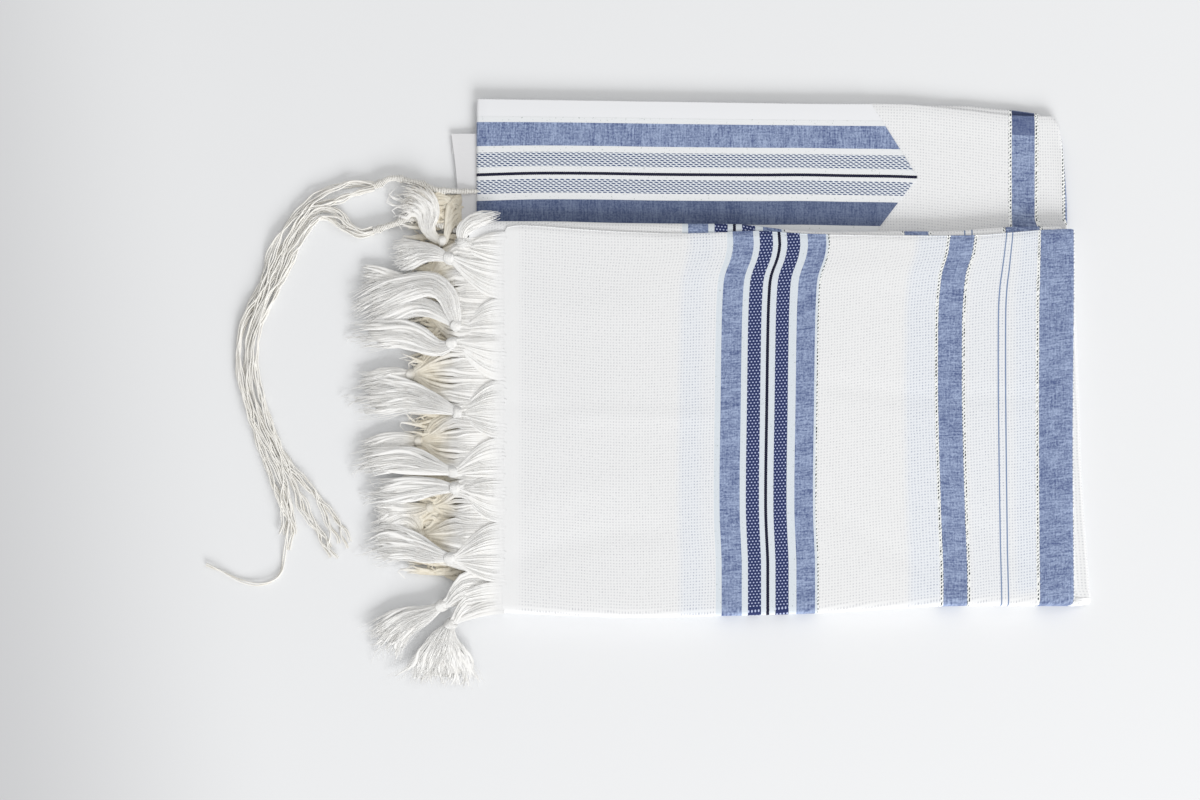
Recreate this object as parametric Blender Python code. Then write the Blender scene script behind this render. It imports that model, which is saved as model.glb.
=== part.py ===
"""Tallit prayer shawl, folded flat on a surface.

Frame: metres, +Z up, Z = 0 is the surface that the shawl lies on. +X runs along the
shawl's length, away from its fringed ends, and +Y towards its neck edge. The driving
sizes below are in millimetres.

The cloth is folded in half at the middle of its collar band (the fold at -X), both
halves are folded back again (the fold at +X), so that both fringed ends lie at -X, and
the lower part of that stack is then turned up over the front (the fold at -Y).
"""
import math

import bpy
import bmesh
from mathutils import Vector

MM = 0.001

# Cloth and heights above the surface
CLOTH_WALL = 1.2
SEAM_GAP = 0.3
BAND_WALL = 1.0
BACK_TOP = 6.0          # upper back panel
FLAP_TOP = 12.4         # folded-up front
HEM_RISE = 0.4
HEM_WIDTH = 14.0
HEM_STEP = 4.0          # width over which the hem's thickness dies away
BAND_CLEAR_X = (104.0, 112.0)   # beyond the collar band's point
RIPPLE = 0.4            # gentle unevenness of the laid cloth

# Folds
LOWER_FOLD_RADIUS = FLAP_TOP / 2
SIDE_FOLD_RADIUS = 2.8
BACK_RIGHT_RADIUS = 2.4
BACK_LEFT_RADIUS = 2.0
BACK_LEFT_DROP = 0.7
LEFT_FOLD_X = -207.9
FLAP_RIGHT_X = 207.9
FRINGED_END_X = -190.5

# How far pieces run on out of sight, under the folded-up front
BACK_TUCK = 18.0
BAND_TUCK = 11.5
SLOT_DEPTH = 19.0

# How far in from a fold the cloth comes to lie flat
SETTLE = 25.0

# Outlines: rows of (x, y) along the edge
BACK_TOP_EDGE = [(-208, 180.0), (25, 176.6), (91, 176.0), (116, 173.8),
                 (141, 171.0), (165, 168.4), (205, 167.3)]
UNDER_TOP_EDGE = [(-208, 179.4), (91, 175.4), (112, 175.0), (129, 175.5),
                  (150, 173.3), (165, 172.2), (195, 168.0), (205, 166.6)]
FLAP_TOP_EDGE = [(-191, 89.0), (-178, 91.0), (-141, 88.5), (-101, 86.1), (-60, 85.1),
                 (-24, 86.8), (20, 84.7), (123, 83.7), (159, 85.8), (186, 87.5),
                 (208, 88.2)]
LOWER_FOLD_EDGE = [(-191, -179.2), (-148, -181.3), (-101, -182.7), (-53, -182.0),
                   (27, -179.9), (113, -175.0), (186, -174.7), (222, -175.0)]
LOWER_FOLD_END_Y = -175.0   # where the fold at +X meets the lower fold
BACK_FLAT_Y = (70.0, 172.0)     # stretches of each wall's side, for its side outline
UNDER_FLAT_Y = (171.0, -170.0)
FLAP_FLAT_Y = (-173.0, 91.0)
BAND_EDGE_INSET = 0.2
UNDER_EDGE_INSET = 0.8
# Outlines: rows of (y, x) up the edge
STACK_RIGHT_EDGE = [(-176, 221.2), (-87, 214.9), (-31, 212.8), (39, 210.0), (90, 205.1),
                    (112, 204.4), (136, 202.7), (160, 200.2), (180, 198.0)]
FLAP_LEFT_EDGE = [(-183, -190.5), (78, -190.5), (86, -189.0), (92, -185.5)]
BAND_POINT_EDGE = [(73.4, 62.5), (86.8, 72.1), (125.3, 99.4), (178, 67.5)]
PATCH_LEFT_EDGE = [(90.3, -220.5), (115, -221.9), (137, -224.0), (155.6, -226.5)]

# Rounded solid of the hidden layers: one row for each level of its edge.
# z, inset of its sides, inset at the +X fold, and which outline it follows
INNER_LEVELS = [
    # z,  inset, at +X, outline
    (1.5, 1.6, 3.2, "stack"),
    (1.9, 0.4, 2.4, "stack"),
    (2.7, 0.4, 2.1, "stack"),
    (2.95, 1.7, 2.9, "stack"),
    (3.2, 0.4, 2.0, "stack"),
    (4.1, 0.4, 2.3, "stack"),
    (4.5, 1.6, 3.4, "stack"),
    (4.5, 1.6, 7.0, "slot"),
    (4.8, 0.8, 2.4, "slot"),
    (5.7, 0.6, 2.0, "slot"),
    (6.1, 1.8, 3.4, "slot flap"),
    (7.6, 1.0, 2.2, "slot flap"),
    (7.6, 1.6, 2.1, "flap"),
    (7.85, 0.4, 1.9, "flap"),
    (8.45, 0.4, 1.9, "flap"),
    (8.65, 1.7, 2.8, "flap"),
    (8.85, 0.4, 1.9, "flap"),
    (9.5, 0.4, 2.1, "flap"),
    (10.1, 1.8, 3.6, "flap"),
]
# The hidden layers' -X side steps back as it rises: rows of (z, x)
INNER_LEFT_STEPS = [(1.5, -213.7), (6.1, -212.6), (7.6, -208.5), (8.45, -205.5),
                    (8.85, -203.5), (9.5, -199.8), (10.1, -195.0)]
INNER_LEFT_BACK_X = -206.3

# Fringe. One row for each bunch of warp threads:
# name, knot x, y and z, the tail's middle x, y and its half spread there, the tail's tip
# x, y and its half spread, and the stretch of cloth edge (y) that its threads leave
UPPER_FRINGE = [
    ("corner", -218.8, 80.6, 9.4, -208.5, 94.8, 3.8, -190.0, 99.6, 3.0, 66.5, 84.0),
    ("01", -227.5, 68.0, 8.6, -246.0, 68.6, 5.0, -268.0, 65.8, 9.0, 41.0, 63.5),
    ("02", -221.9, 20.8, 8.6, -255.5, 30.8, 4.5, -294.0, 26.6, 6.0, 14.5, 38.5),
    ("03", -225.4, 8.8, 8.6, -249.0, 4.4, 4.6, -294.0, 9.1, 6.0, -15.0, 11.0),
    ("04", -222.6, -39.2, 8.6, -255.5, -32.2, 5.0, -294.0, -30.8, 7.0, -55.5, -18.5),
    ("05", -226.1, -80.8, 8.6, -255.5, -69.3, 4.5, -294.0, -71.4, 6.5, -82.5, -59.0),
    ("06", -223.3, -92.4, 8.6, -255.5, -91.9, 4.5, -284.9, -95.2, 6.0, -114.5, -86.0),
    ("07", -226.8, -141.4, 8.6, -251.0, -137.4, 4.6, -284.9, -140.0, 8.0, -156.0, -118.0),
    ("08", -233.1, -174.6, 4.6, -252.0, -183.4, 5.0, -273.7, -198.8, 9.0, -168.5, -158.5),
    ("09", -227.0, -187.6, 4.6, -234.6, -206.0, 6.4, -236.6, -233.8, 16.0, -177.5, -171.0),
]
LOWER_FRINGE = [
    ("10", -228.6, 102.0, 3.3, -243.0, 105.2, 4.0, -263.9, 111.0, 5.4, 97.0, 108.0),
    ("11", -248.5, 42.4, 3.3, -268.1, 46.2, 4.0, -291.9, 44.8, 5.5, 33.0, 50.0),
    ("12", -254.5, -12.8, 3.3, -270.9, -11.4, 4.0, -290.5, -14.9, 5.6, -22.0, -4.0),
    ("13", -249.2, -59.3, 3.3, -266.0, -51.8, 4.0, -289.1, -50.4, 6.0, -66.0, -50.0),
    ("14", -240.8, -105.9, 3.3, -259.0, -109.3, 4.0, -282.1, -109.4, 4.8, -113.0, -97.0),
    ("15", -248.5, -124.4, 3.3, -264.0, -121.4, 3.6, -280.0, -121.0, 4.2, -133.0, -117.5),
]
UPPER_EDGE_Z = 11.8
LOWER_EDGE_X = -213.0
LOWER_EDGE_Z = 4.2
PATCH_EDGE_X = -221.2
PATCH_EDGE_Z = 1.2
THREAD_CLEAR = 0.55     # from a thread's middle to the cloth edge that it leaves
TAIL_END_Z = 2.0
THREAD_ROOT_HALF = 0.72
THREAD_TIP_HALF = 0.5
# Knot of a bunch: rows of (place along it, half width, half height), in parts of its size
KNOT_PROFILE = [(-1.0, 0.72, 0.70), (-0.45, 1.0, 1.0), (0.35, 1.0, 0.96), (1.0, 0.80, 0.74)]
# How much shorter each thread ends, from one side of a tail to the other
TAIL_STAGGER = [0.05, 0.0, 0.08, 0.02, 0.10]

# Tzitzit: the routes of the two tassels' wound heads, rows of (x, y, z, half width)
OUTER_HEAD = [(-209.7, 115.4, 4.3, 1.1), (-219.0, 115.4, 3.7, 1.2), (-223.4, 115.6, 3.5, 1.3),
              (-228.0, 115.9, 2.9, 2.1),
              (-236.0, 116.2, 2.7, 2.2), (-241.5, 118.2, 2.7, 2.2), (-248.5, 121.1, 2.7, 2.3),
              (-256.2, 122.6, 2.7, 2.2), (-264.6, 124.6, 2.7, 2.3), (-270.4, 124.4, 2.9, 2.6),
              (-276.0, 121.2, 3.0, 3.0), (-281.0, 119.2, 2.8, 2.9)]
INNER_HEAD = [(-206.8, 84.6, 1.8, 1.0), (-213.0, 84.8, 1.9, 1.0), (-218.5, 86.2, 2.3, 1.4),
              (-225.5, 88.6, 2.7, 2.1), (-237.3, 92.6, 2.7, 2.2),
              (-244.6, 96.0, 2.7, 2.3), (-251.3, 96.8, 2.7, 2.2), (-259.7, 95.4, 2.7, 2.3),
              (-266.0, 92.8, 2.7, 2.3), (-272.3, 91.0, 2.9, 2.6), (-277.0, 89.2, 3.0, 3.0),
              (-281.4, 88.0, 2.8, 2.9)]
# Their strings' routes: rows of (x, y, half width of the eight strings)
OUTER_STRINGS = [(-281.0, 119.2, 2.9), (-291.0, 118.4, 3.0), (-305.9, 115.5, 3.2),
                 (-321.3, 108.5, 3.2), (-333.2, 98.7, 3.2), (-344.4, 82.6, 3.2),
                 (-352.8, 63.0, 3.2), (-361.9, 42.0, 3.1), (-370.3, 22.4, 3.0),
                 (-373.1, -2.8, 2.9), (-369.6, -28.0, 2.9), (-359.8, -58.1, 3.2),
                 (-351.4, -79.1, 3.3), (-347.2, -95.9, 3.6), (-342.3, -114.8, 4.2),
                 (-340.0, -133.0, 5.0)]
INNER_STRINGS = [(-281.4, 88.0, 2.9), (-290.5, 85.2, 3.0), (-299.5, 90.0, 3.0),
                 (-307.0, 98.6, 3.0), (-314.5, 102.2, 3.0), (-322.5, 98.4, 3.0),
                 (-330.0, 89.6, 3.0), (-338.2, 78.4, 3.0), (-346.0, 60.0, 3.0),
                 (-354.9, 38.8, 3.0), (-362.6, 20.2, 2.9), (-365.9, -2.8, 2.8),
                 (-362.4, -26.8, 2.8), (-352.6, -55.4, 3.1), (-342.6, -77.0, 3.4),
                 (-331.0, -95.0, 4.6), (-315.0, -116.0, 7.0), (-303.0, -137.0, 10.0)]
LONG_STRING = [(-344.4, -142.0), (-346.2, -151.2), (-352.0, -157.5), (-362.6, -160.3),
               (-375.2, -157.5), (-389.2, -150.5), (-399.7, -146.3)]
STRING_HALF = 0.6
STRING_Z = 2.1
HEAD_HALF_HEIGHT = 2.1

# Surface finishes: name, colour, roughness, metallic
FINISHES = {
    "cloth": ((0.86, 0.86, 0.87), 0.85, 0.0),
    "band": ((0.36, 0.44, 0.66), 0.6, 0.0),
    "satin": ((0.88, 0.88, 0.90), 0.45, 0.0),
    "fringe": ((0.90, 0.89, 0.86), 0.8, 0.0),
    "tzitzit": ((0.86, 0.83, 0.74), 0.8, 0.0),
}


def value_at(rows, key, column=1):
    """Value in a column of a table at a key, straight between its rows."""
    if key <= rows[0][0]:
        return rows[0][column]
    for before, after in zip(rows, rows[1:]):
        if key <= after[0]:
            share = (key - before[0]) / (after[0] - before[0])
            return before[column] + share * (after[column] - before[column])
    return rows[-1][column]


def smooth_step(low, high, value):
    """0 below low, 1 above high, and a soft change between."""
    share = min(1.0, max(0.0, (value - low) / (high - low)))
    return share * share * (3.0 - 2.0 * share)


def mix(first, second, share):
    """Value between two others."""
    return first + (second - first) * share


def curve_points(rows, count):
    """Points at even spacing along a smooth curve through the rows."""
    knots = [Vector(row) for row in rows]
    knots = [2 * knots[0] - knots[1]] + knots + [2 * knots[-1] - knots[-2]]
    fine_steps = 12
    fine = []
    for i in range(1, len(knots) - 2):
        before, start, end, after = knots[i - 1:i + 3]
        for step in range(fine_steps):
            t = step / fine_steps
            fine.append(0.5 * (2 * start + (end - before) * t
                               + (2 * before - 5 * start + 4 * end - after) * t ** 2
                               + (3 * start - before - 3 * end + after) * t ** 3))
    fine.append(knots[-2].copy())
    lengths = [0.0]
    for start, end in zip(fine, fine[1:]):
        lengths.append(lengths[-1] + (end - start).length)
    points = []
    position = 0
    for i in range(count + 1):
        wanted = lengths[-1] * i / count
        while position < len(lengths) - 2 and lengths[position + 1] < wanted:
            position += 1
        share = (wanted - lengths[position]) / (lengths[position + 1] - lengths[position])
        points.append(fine[position].lerp(fine[position + 1], share))
    return points


def finish(name):
    """Principled material of a named finish."""
    existing = bpy.data.materials.get(name)
    if existing:
        return existing
    colour, roughness, metallic = FINISHES[name]
    material = bpy.data.materials.new(name)
    material.use_nodes = True
    shader = material.node_tree.nodes["Principled BSDF"]
    shader.inputs["Base Color"].default_value = (*colour, 1.0)
    shader.inputs["Roughness"].default_value = roughness
    shader.inputs["Metallic"].default_value = metallic
    return material


def add_object(name, bm, finish_name):
    """Object from a mesh in millimetres, scaled to metres."""
    bmesh.ops.scale(bm, vec=(MM, MM, MM), verts=bm.verts)
    mesh = bpy.data.meshes.new(name)
    bm.to_mesh(mesh)
    bm.free()
    mesh.materials.append(finish(finish_name))
    mesh.shade_smooth()
    mesh.set_sharp_from_angle(angle=math.radians(50))
    item = bpy.data.objects.new(name, mesh)
    bpy.context.scene.collection.objects.link(item)
    return item


def cloth_wall(name, columns, rows, point, wall, finish_name):
    """Sheet laid through point(column, row), given its thickness inwards."""
    bm = bmesh.new()
    bmesh.ops.create_grid(bm, x_segments=columns, y_segments=rows, size=0.5)
    for vert in bm.verts:
        column = round((vert.co.x + 0.5) * columns)
        row = round((vert.co.y + 0.5) * rows)
        vert.co = Vector(point(column, row))
    item = add_object(name, bm, finish_name)
    thickness = item.modifiers.new("wall", "SOLIDIFY")
    thickness.thickness = wall * MM
    thickness.offset = -1.0
    thickness.use_even_offset = True
    return item


# Upper back panel and the collar band on it

BACK_COLUMNS_LEFT = 5
BACK_COLUMNS_FLAT = 16
BACK_COLUMNS_RIGHT = 4
BACK_ROWS = 8


def ripple(x, y):
    """Height of the laid cloth's gentle unevenness."""
    return RIPPLE * math.sin(x / 46.0 + y / 31.0) * math.cos(x / 83.0 - y / 57.0)


def back_left_curl(step, lift):
    """x and z on the fold at -X: a short drop, then a quarter turn up to the flat."""
    if step == 0:
        return LEFT_FOLD_X - lift, BACK_TOP - BACK_LEFT_RADIUS - BACK_LEFT_DROP
    angle = math.radians(90.0) * (step - 1) / (BACK_COLUMNS_LEFT - 1)
    reach = BACK_LEFT_RADIUS + lift
    return (LEFT_FOLD_X + BACK_LEFT_RADIUS - reach * math.cos(angle),
            BACK_TOP - BACK_LEFT_RADIUS + reach * math.sin(angle))


def back_panel_point(column, row):
    """Outer face of the upper back panel, from the fold at -X to the fold at +X."""
    share = row / BACK_ROWS
    if column < BACK_COLUMNS_LEFT:
        x, z = back_left_curl(column, 0.0)
        low = value_at(FLAP_TOP_EDGE, x) - BACK_TUCK
        return x, mix(low, value_at(BACK_TOP_EDGE, x), share), z
    flat_start = LEFT_FOLD_X + BACK_LEFT_RADIUS
    guess_y = mix(*BACK_FLAT_Y, share)
    flat_end = value_at(STACK_RIGHT_EDGE, guess_y) - BACK_RIGHT_RADIUS
    flat_column = min(column - BACK_COLUMNS_LEFT + 1, BACK_COLUMNS_FLAT)
    x = mix(flat_start, flat_end, flat_column / BACK_COLUMNS_FLAT)
    y = mix(value_at(FLAP_TOP_EDGE, x) - BACK_TUCK, value_at(BACK_TOP_EDGE, x), share)
    level = (smooth_step(0.0, SETTLE, x - flat_start)
             * smooth_step(0.0, SETTLE, flat_end - x))
    clear_of_band = smooth_step(*BAND_CLEAR_X, x)
    hem = HEM_RISE * clear_of_band * smooth_step(HEM_WIDTH + HEM_STEP, HEM_WIDTH,
                                                 value_at(BACK_TOP_EDGE, x) - y)
    z = BACK_TOP + hem * level - 0.5 * RIPPLE * level * (1.0 - clear_of_band)
    curl_column = column - BACK_COLUMNS_LEFT + 1 - BACK_COLUMNS_FLAT
    if curl_column > 0:
        angle = math.radians(90.0) * curl_column / BACK_COLUMNS_RIGHT
        x += BACK_RIGHT_RADIUS * math.sin(angle)
        z -= BACK_RIGHT_RADIUS * (1.0 - math.cos(angle))
    return x, y, z


def build_back_panel():
    """Upper back panel: the stretch of body cloth that the collar band is sewn on."""
    columns = BACK_COLUMNS_LEFT + BACK_COLUMNS_FLAT - 1 + BACK_COLUMNS_RIGHT
    return cloth_wall("back_panel", columns, BACK_ROWS, back_panel_point, CLOTH_WALL, "cloth")


BAND_COLUMNS_FLAT = 12
BAND_ROWS = 8


def collar_band_point(column, row):
    """Outer face of the collar band: the back panel's points moved out by its own wall."""
    share = row / BAND_ROWS
    lift = SEAM_GAP + BAND_WALL
    flat_start = LEFT_FOLD_X + BACK_LEFT_RADIUS
    if column < BACK_COLUMNS_LEFT:
        x, z = back_left_curl(column, lift)
        inner_x = max(x, LEFT_FOLD_X)
    else:
        flat_column = column - BACK_COLUMNS_LEFT + 1
        guess_y = mix(value_at(FLAP_TOP_EDGE, 0.0) - BAND_TUCK,
                      value_at(BACK_TOP_EDGE, BAND_CLEAR_X[0] - HEM_WIDTH), share)
        end = value_at(BAND_POINT_EDGE, guess_y)
        x = mix(flat_start, end, flat_column / BAND_COLUMNS_FLAT)
        inner_x = x
        z = BACK_TOP + lift
    low = value_at(FLAP_TOP_EDGE, inner_x) - BAND_TUCK
    return x, mix(low, value_at(BACK_TOP_EDGE, inner_x) - BAND_EDGE_INSET, share), z


def build_collar_band():
    """Collar band, pointed at its +X end and turned round the fold at -X."""
    columns = BACK_COLUMNS_LEFT + BAND_COLUMNS_FLAT - 1
    return cloth_wall("collar_band", columns, BAND_ROWS, collar_band_point, BAND_WALL, "band")


# Folded-up front, which runs round the lower fold and on as the underside

UNDER_ROWS = 6
FOLD_ROWS = 6
FLAP_ROWS = 9
FLAP_COLUMNS_FLAT = 16
FLAP_COLUMNS_CURL = 3


def front_flap_point(column, row):
    """Outer face of the front, from the underside's upper edge to the flap's free edge."""
    flat_share = min(column, FLAP_COLUMNS_FLAT) / FLAP_COLUMNS_FLAT
    angle = math.pi * min(1.0, max(0.0, (row - UNDER_ROWS) / FOLD_ROWS))
    run_share = 0.0
    if row < UNDER_ROWS:
        guess_y = mix(*UNDER_FLAT_Y, row / UNDER_ROWS)
        right = value_at(STACK_RIGHT_EDGE, guess_y)
    else:
        right = mix(value_at(STACK_RIGHT_EDGE, LOWER_FOLD_END_Y), FLAP_RIGHT_X,
                    angle / math.pi)
        run_share = max(0, row - UNDER_ROWS - FOLD_ROWS) / FLAP_ROWS
        guess_y = mix(*FLAP_FLAT_Y, run_share)
    left = value_at(FLAP_LEFT_EDGE, guess_y) if run_share > 0 else FRINGED_END_X
    x = mix(left, right - SIDE_FOLD_RADIUS, flat_share)
    centre_y = value_at(LOWER_FOLD_EDGE, x) + LOWER_FOLD_RADIUS
    curl = math.radians(90.0) * max(0, column - FLAP_COLUMNS_FLAT) / FLAP_COLUMNS_CURL
    x += SIDE_FOLD_RADIUS * math.sin(curl)
    inward = SIDE_FOLD_RADIUS * (1.0 - math.cos(curl))
    if row < UNDER_ROWS:
        y = mix(value_at(UNDER_TOP_EDGE, x) - UNDER_EDGE_INSET, centre_y,
                row / UNDER_ROWS)
        return x, y, inward
    if row <= UNDER_ROWS + FOLD_ROWS:
        reach = LOWER_FOLD_RADIUS - inward
        return (x, centre_y - reach * math.sin(angle),
                LOWER_FOLD_RADIUS - reach * math.cos(angle))
    y = mix(centre_y, value_at(FLAP_TOP_EDGE, x), run_share)
    away = smooth_step(0.0, 0.2, run_share) * smooth_step(0.0, 0.15, 1.0 - flat_share)
    z = FLAP_TOP - inward + away * (ripple(x, y) - RIPPLE) * 0.5
    return x, y, z


def build_front_flap():
    """Folded-up front, lower fold and underside: one stretch of the body cloth."""
    columns = FLAP_COLUMNS_FLAT + FLAP_COLUMNS_CURL
    rows = UNDER_ROWS + FOLD_ROWS + FLAP_ROWS
    return cloth_wall("front_flap", columns, rows, front_flap_point, CLOTH_WALL, "cloth")


# Hidden layers

INNER_SIDE_SHARES = [0.0, 0.13, 0.29, 0.45, 0.58, 0.66, 0.69, 0.78, 0.88, 1.0]
INNER_END_STEPS = 11
INNER_CORNER = 4.0
INNER_FOLD_CLEAR = LOWER_FOLD_RADIUS - CLOTH_WALL - 2 * SEAM_GAP
INNER_GROOVE_FROM = 0.4     # inset of the layers' own edges: deeper ones are grooves
# Stretches of y where the solid's sides pass from one outline to the next
RIGHT_TURN_Y = (-145.0, -160.0)
LEFT_STEP_Y = (57.0, 64.0)
SLOT_STEP_Y = (0.0, 12.0)
SLOT_LEFT_GAP = 0.3


def inner_right_edge(y, z, outline):
    """x of the hidden layers' +X side: it follows the walls around it."""
    stack = value_at(STACK_RIGHT_EDGE, y)
    step = FLAP_RIGHT_X if "flap" in outline else stack
    angle = math.acos(max(-1.0, min(1.0, (LOWER_FOLD_RADIUS - z) / LOWER_FOLD_RADIUS)))
    turned = mix(value_at(STACK_RIGHT_EDGE, LOWER_FOLD_END_Y), FLAP_RIGHT_X,
                 angle / math.pi)
    return mix(step, min(step, turned), smooth_step(*RIGHT_TURN_Y, y))


def inner_left_edge(y, z, outline):
    """x of the hidden layers' -X side, stepped back above and behind the back panel."""
    front = value_at(INNER_LEFT_STEPS, z)
    if outline == "stack":
        return mix(front, INNER_LEFT_BACK_X, smooth_step(*LEFT_STEP_Y, y))
    if "slot" in outline:
        return mix(front, INNER_LEFT_BACK_X + SLOT_LEFT_GAP, smooth_step(*SLOT_STEP_Y, y))
    return front


def inner_ring(z, inset, inset_right, outline):
    """Points round one level of the hidden layers."""
    def top(x):
        if outline == "stack":
            return value_at(UNDER_TOP_EDGE, x) - inset
        edge = value_at(FLAP_TOP_EDGE, x)
        return edge - SLOT_DEPTH if "slot" in outline else edge - inset

    def bottom(x):
        rise = INNER_FOLD_CLEAR ** 2 - (z - LOWER_FOLD_RADIUS) ** 2
        groove = max(0.0, inset - INNER_GROOVE_FROM)
        return (value_at(LOWER_FOLD_EDGE, x) + LOWER_FOLD_RADIUS + groove
                - math.sqrt(max(0.0, rise)))

    def left(y):
        extra = inset - INNER_GROOVE_FROM if outline == "stack" else 0.0
        return inner_left_edge(y, z, outline) + extra

    def right(y):
        return inner_right_edge(y, z, outline) - inset_right

    top_y = top(0.0)
    bottom_y = bottom(0.0)
    corner = INNER_CORNER
    cut = corner * (1.0 - math.sqrt(0.5))
    ring = []
    start_x, end_x = left(bottom_y), right(bottom_y)
    ring.append((start_x + cut, bottom(start_x) + cut))
    for i in range(INNER_END_STEPS + 1):
        x = mix(start_x + corner, end_x - corner, i / INNER_END_STEPS)
        ring.append((x, bottom(x)))
    low_y, high_y = bottom(end_x), top(right(top_y))
    ring.append((end_x - cut, low_y + cut))
    for share in INNER_SIDE_SHARES:
        y = mix(low_y + corner, high_y - corner, share)
        ring.append((right(y), y))
    start_x, end_x = right(high_y), left(top_y)
    ring.append((start_x - cut, high_y - cut))
    for i in range(INNER_END_STEPS + 1):
        x = mix(start_x - corner, end_x + corner, i / INNER_END_STEPS)
        ring.append((x, top(x)))
    high_y, low_y = top(end_x), bottom(left(bottom_y))
    ring.append((end_x + cut, high_y - cut))
    for share in reversed(INNER_SIDE_SHARES):
        y = mix(low_y + corner, high_y - corner, share)
        ring.append((left(y), y))
    return [Vector((x, y, z)) for x, y in ring]


def build_inner_folds():
    """Hidden layers of the folded cloth: one rounded solid, layered at its edges."""
    bm = bmesh.new()
    rings = []
    for level in INNER_LEVELS:
        rings.append([bm.verts.new(point) for point in inner_ring(*level)])
    bm.faces.new(reversed(rings[0]))
    bm.faces.new(rings[-1])
    for lower, upper in zip(rings, rings[1:]):
        for i in range(len(lower)):
            bm.faces.new((lower[i - 1], lower[i], upper[i], upper[i - 1]))
    return add_object("inner_folds", bm, "cloth")


# Corner patch

PATCH_COLUMNS = 4
PATCH_ROWS = 6
PATCH_TOP_INNER = 2.8
PATCH_TOP_OUTER = 1.7
PATCH_RIGHT_X = -206.7
PATCH_SLANT = 0.5


def corner_patch_point(column, row):
    """Upper face of the satin corner patch, sinking towards its free edge."""
    y = mix(PATCH_LEFT_EDGE[0][0], PATCH_LEFT_EDGE[-1][0], row / PATCH_ROWS)
    share = column / PATCH_COLUMNS
    x = mix(value_at(PATCH_LEFT_EDGE, y), PATCH_RIGHT_X, share)
    z = mix(PATCH_TOP_OUTER, PATCH_TOP_INNER, smooth_step(0.0, 1.0, share))
    return x, y + PATCH_SLANT * share, z


def build_corner_patch():
    """Satin patch on the corner that sticks out from under the fold."""
    return cloth_wall("corner_patch", PATCH_COLUMNS, PATCH_ROWS, corner_patch_point,
                      CLOTH_WALL, "satin")


# Fringe and tassels: a head whose two caps are pulled out into threads


class Tuft:
    """Head with a grid of cells on each cap, from which threads are pulled out."""

    def __init__(self, across, deep):
        self.bm = bmesh.new()
        self.across_layer = self.bm.verts.layers.float.new("across")
        self.up_layer = self.bm.verts.layers.float.new("up")
        bmesh.ops.create_grid(self.bm, x_segments=across, y_segments=deep, size=1.0)
        for vert in self.bm.verts:
            vert[self.across_layer] = vert.co.x
            vert[self.up_layer] = vert.co.y
        self.first_cap = list(self.bm.faces)
        self.last_cap = list(self.bm.faces)

    def place_ring(self, faces, centre, side, half_width, half_height):
        """Lay a cap's corners round a centre, as a rounded section."""
        for vert in {corner for face in faces for corner in face.verts}:
            a, b = vert[self.across_layer], vert[self.up_layer]
            reach_a = a * math.sqrt(1.0 - 0.42 * b * b)
            reach_b = b * math.sqrt(1.0 - 0.42 * a * a)
            vert.co = (centre + side * (reach_a * half_width)
                       + Vector((0, 0, 1)) * (reach_b * half_height))

    def pull_head(self, stations):
        """Run the head through rows of (centre, side, half width, half height)."""
        self.place_ring(self.first_cap, *stations[0])
        for station in stations[1:]:
            inner_faces = [] if self.last_cap == self.first_cap else self.last_cap
            pulled = bmesh.ops.extrude_face_region(self.bm, geom=self.last_cap)
            bmesh.ops.delete(self.bm, geom=inner_faces, context="FACES")
            self.last_cap = [part for part in pulled["geom"]
                             if isinstance(part, bmesh.types.BMFace)]
            self.place_ring(self.last_cap, *station)

    def cell(self, face):
        """Middle of a cap's cell, in parts of the cap's half width and half height."""
        count = len(face.verts)
        return (sum(vert[self.across_layer] for vert in face.verts) / count,
                sum(vert[self.up_layer] for vert in face.verts) / count)

    def pull_thread(self, face, centres, root_half, tip_half, backwards=False):
        """Pull a four-sided thread out of a cell, through the centres."""
        middle_a, middle_b = self.cell(face)
        last = len(centres) - 1
        for i, centre in enumerate(centres):
            ahead = centres[min(i + 1, last)] - centres[max(i - 1, 0)]
            side = Vector((-ahead.y, ahead.x, 0.0)).normalized()
            if backwards:
                side = -side
            half = mix(root_half, tip_half, i / last)
            face = bmesh.ops.extrude_discrete_faces(self.bm, faces=[face])["faces"][0]
            for vert in face.verts:
                across = 1.0 if vert[self.across_layer] > middle_a else -1.0
                up = 1.0 if vert[self.up_layer] > middle_b else -1.0
                vert.co = centre + side * (across * half) + Vector((0, 0, up * half))

    def build(self, name, finish_name):
        """Close the mesh into an object."""
        bmesh.ops.recalc_face_normals(self.bm, faces=self.bm.faces)
        return add_object(name, self.bm, finish_name)


def thread_route(spine, widths, lane, level, rise, reach):
    """Centres of one thread in a spread of them, beside a spine."""
    last = len(spine) - 1
    centres = []
    for i, place in enumerate(spine):
        ahead = spine[min(i + 1, last)] - spine[max(i - 1, 0)]
        side = Vector((-ahead.y, ahead.x, 0.0)).normalized()
        centres.append(place + side * (lane * widths[i]) + Vector((0, 0, level * rise)))
    end = centres[-2].lerp(centres[-1], reach)
    return centres[:-1] + [end]


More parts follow.
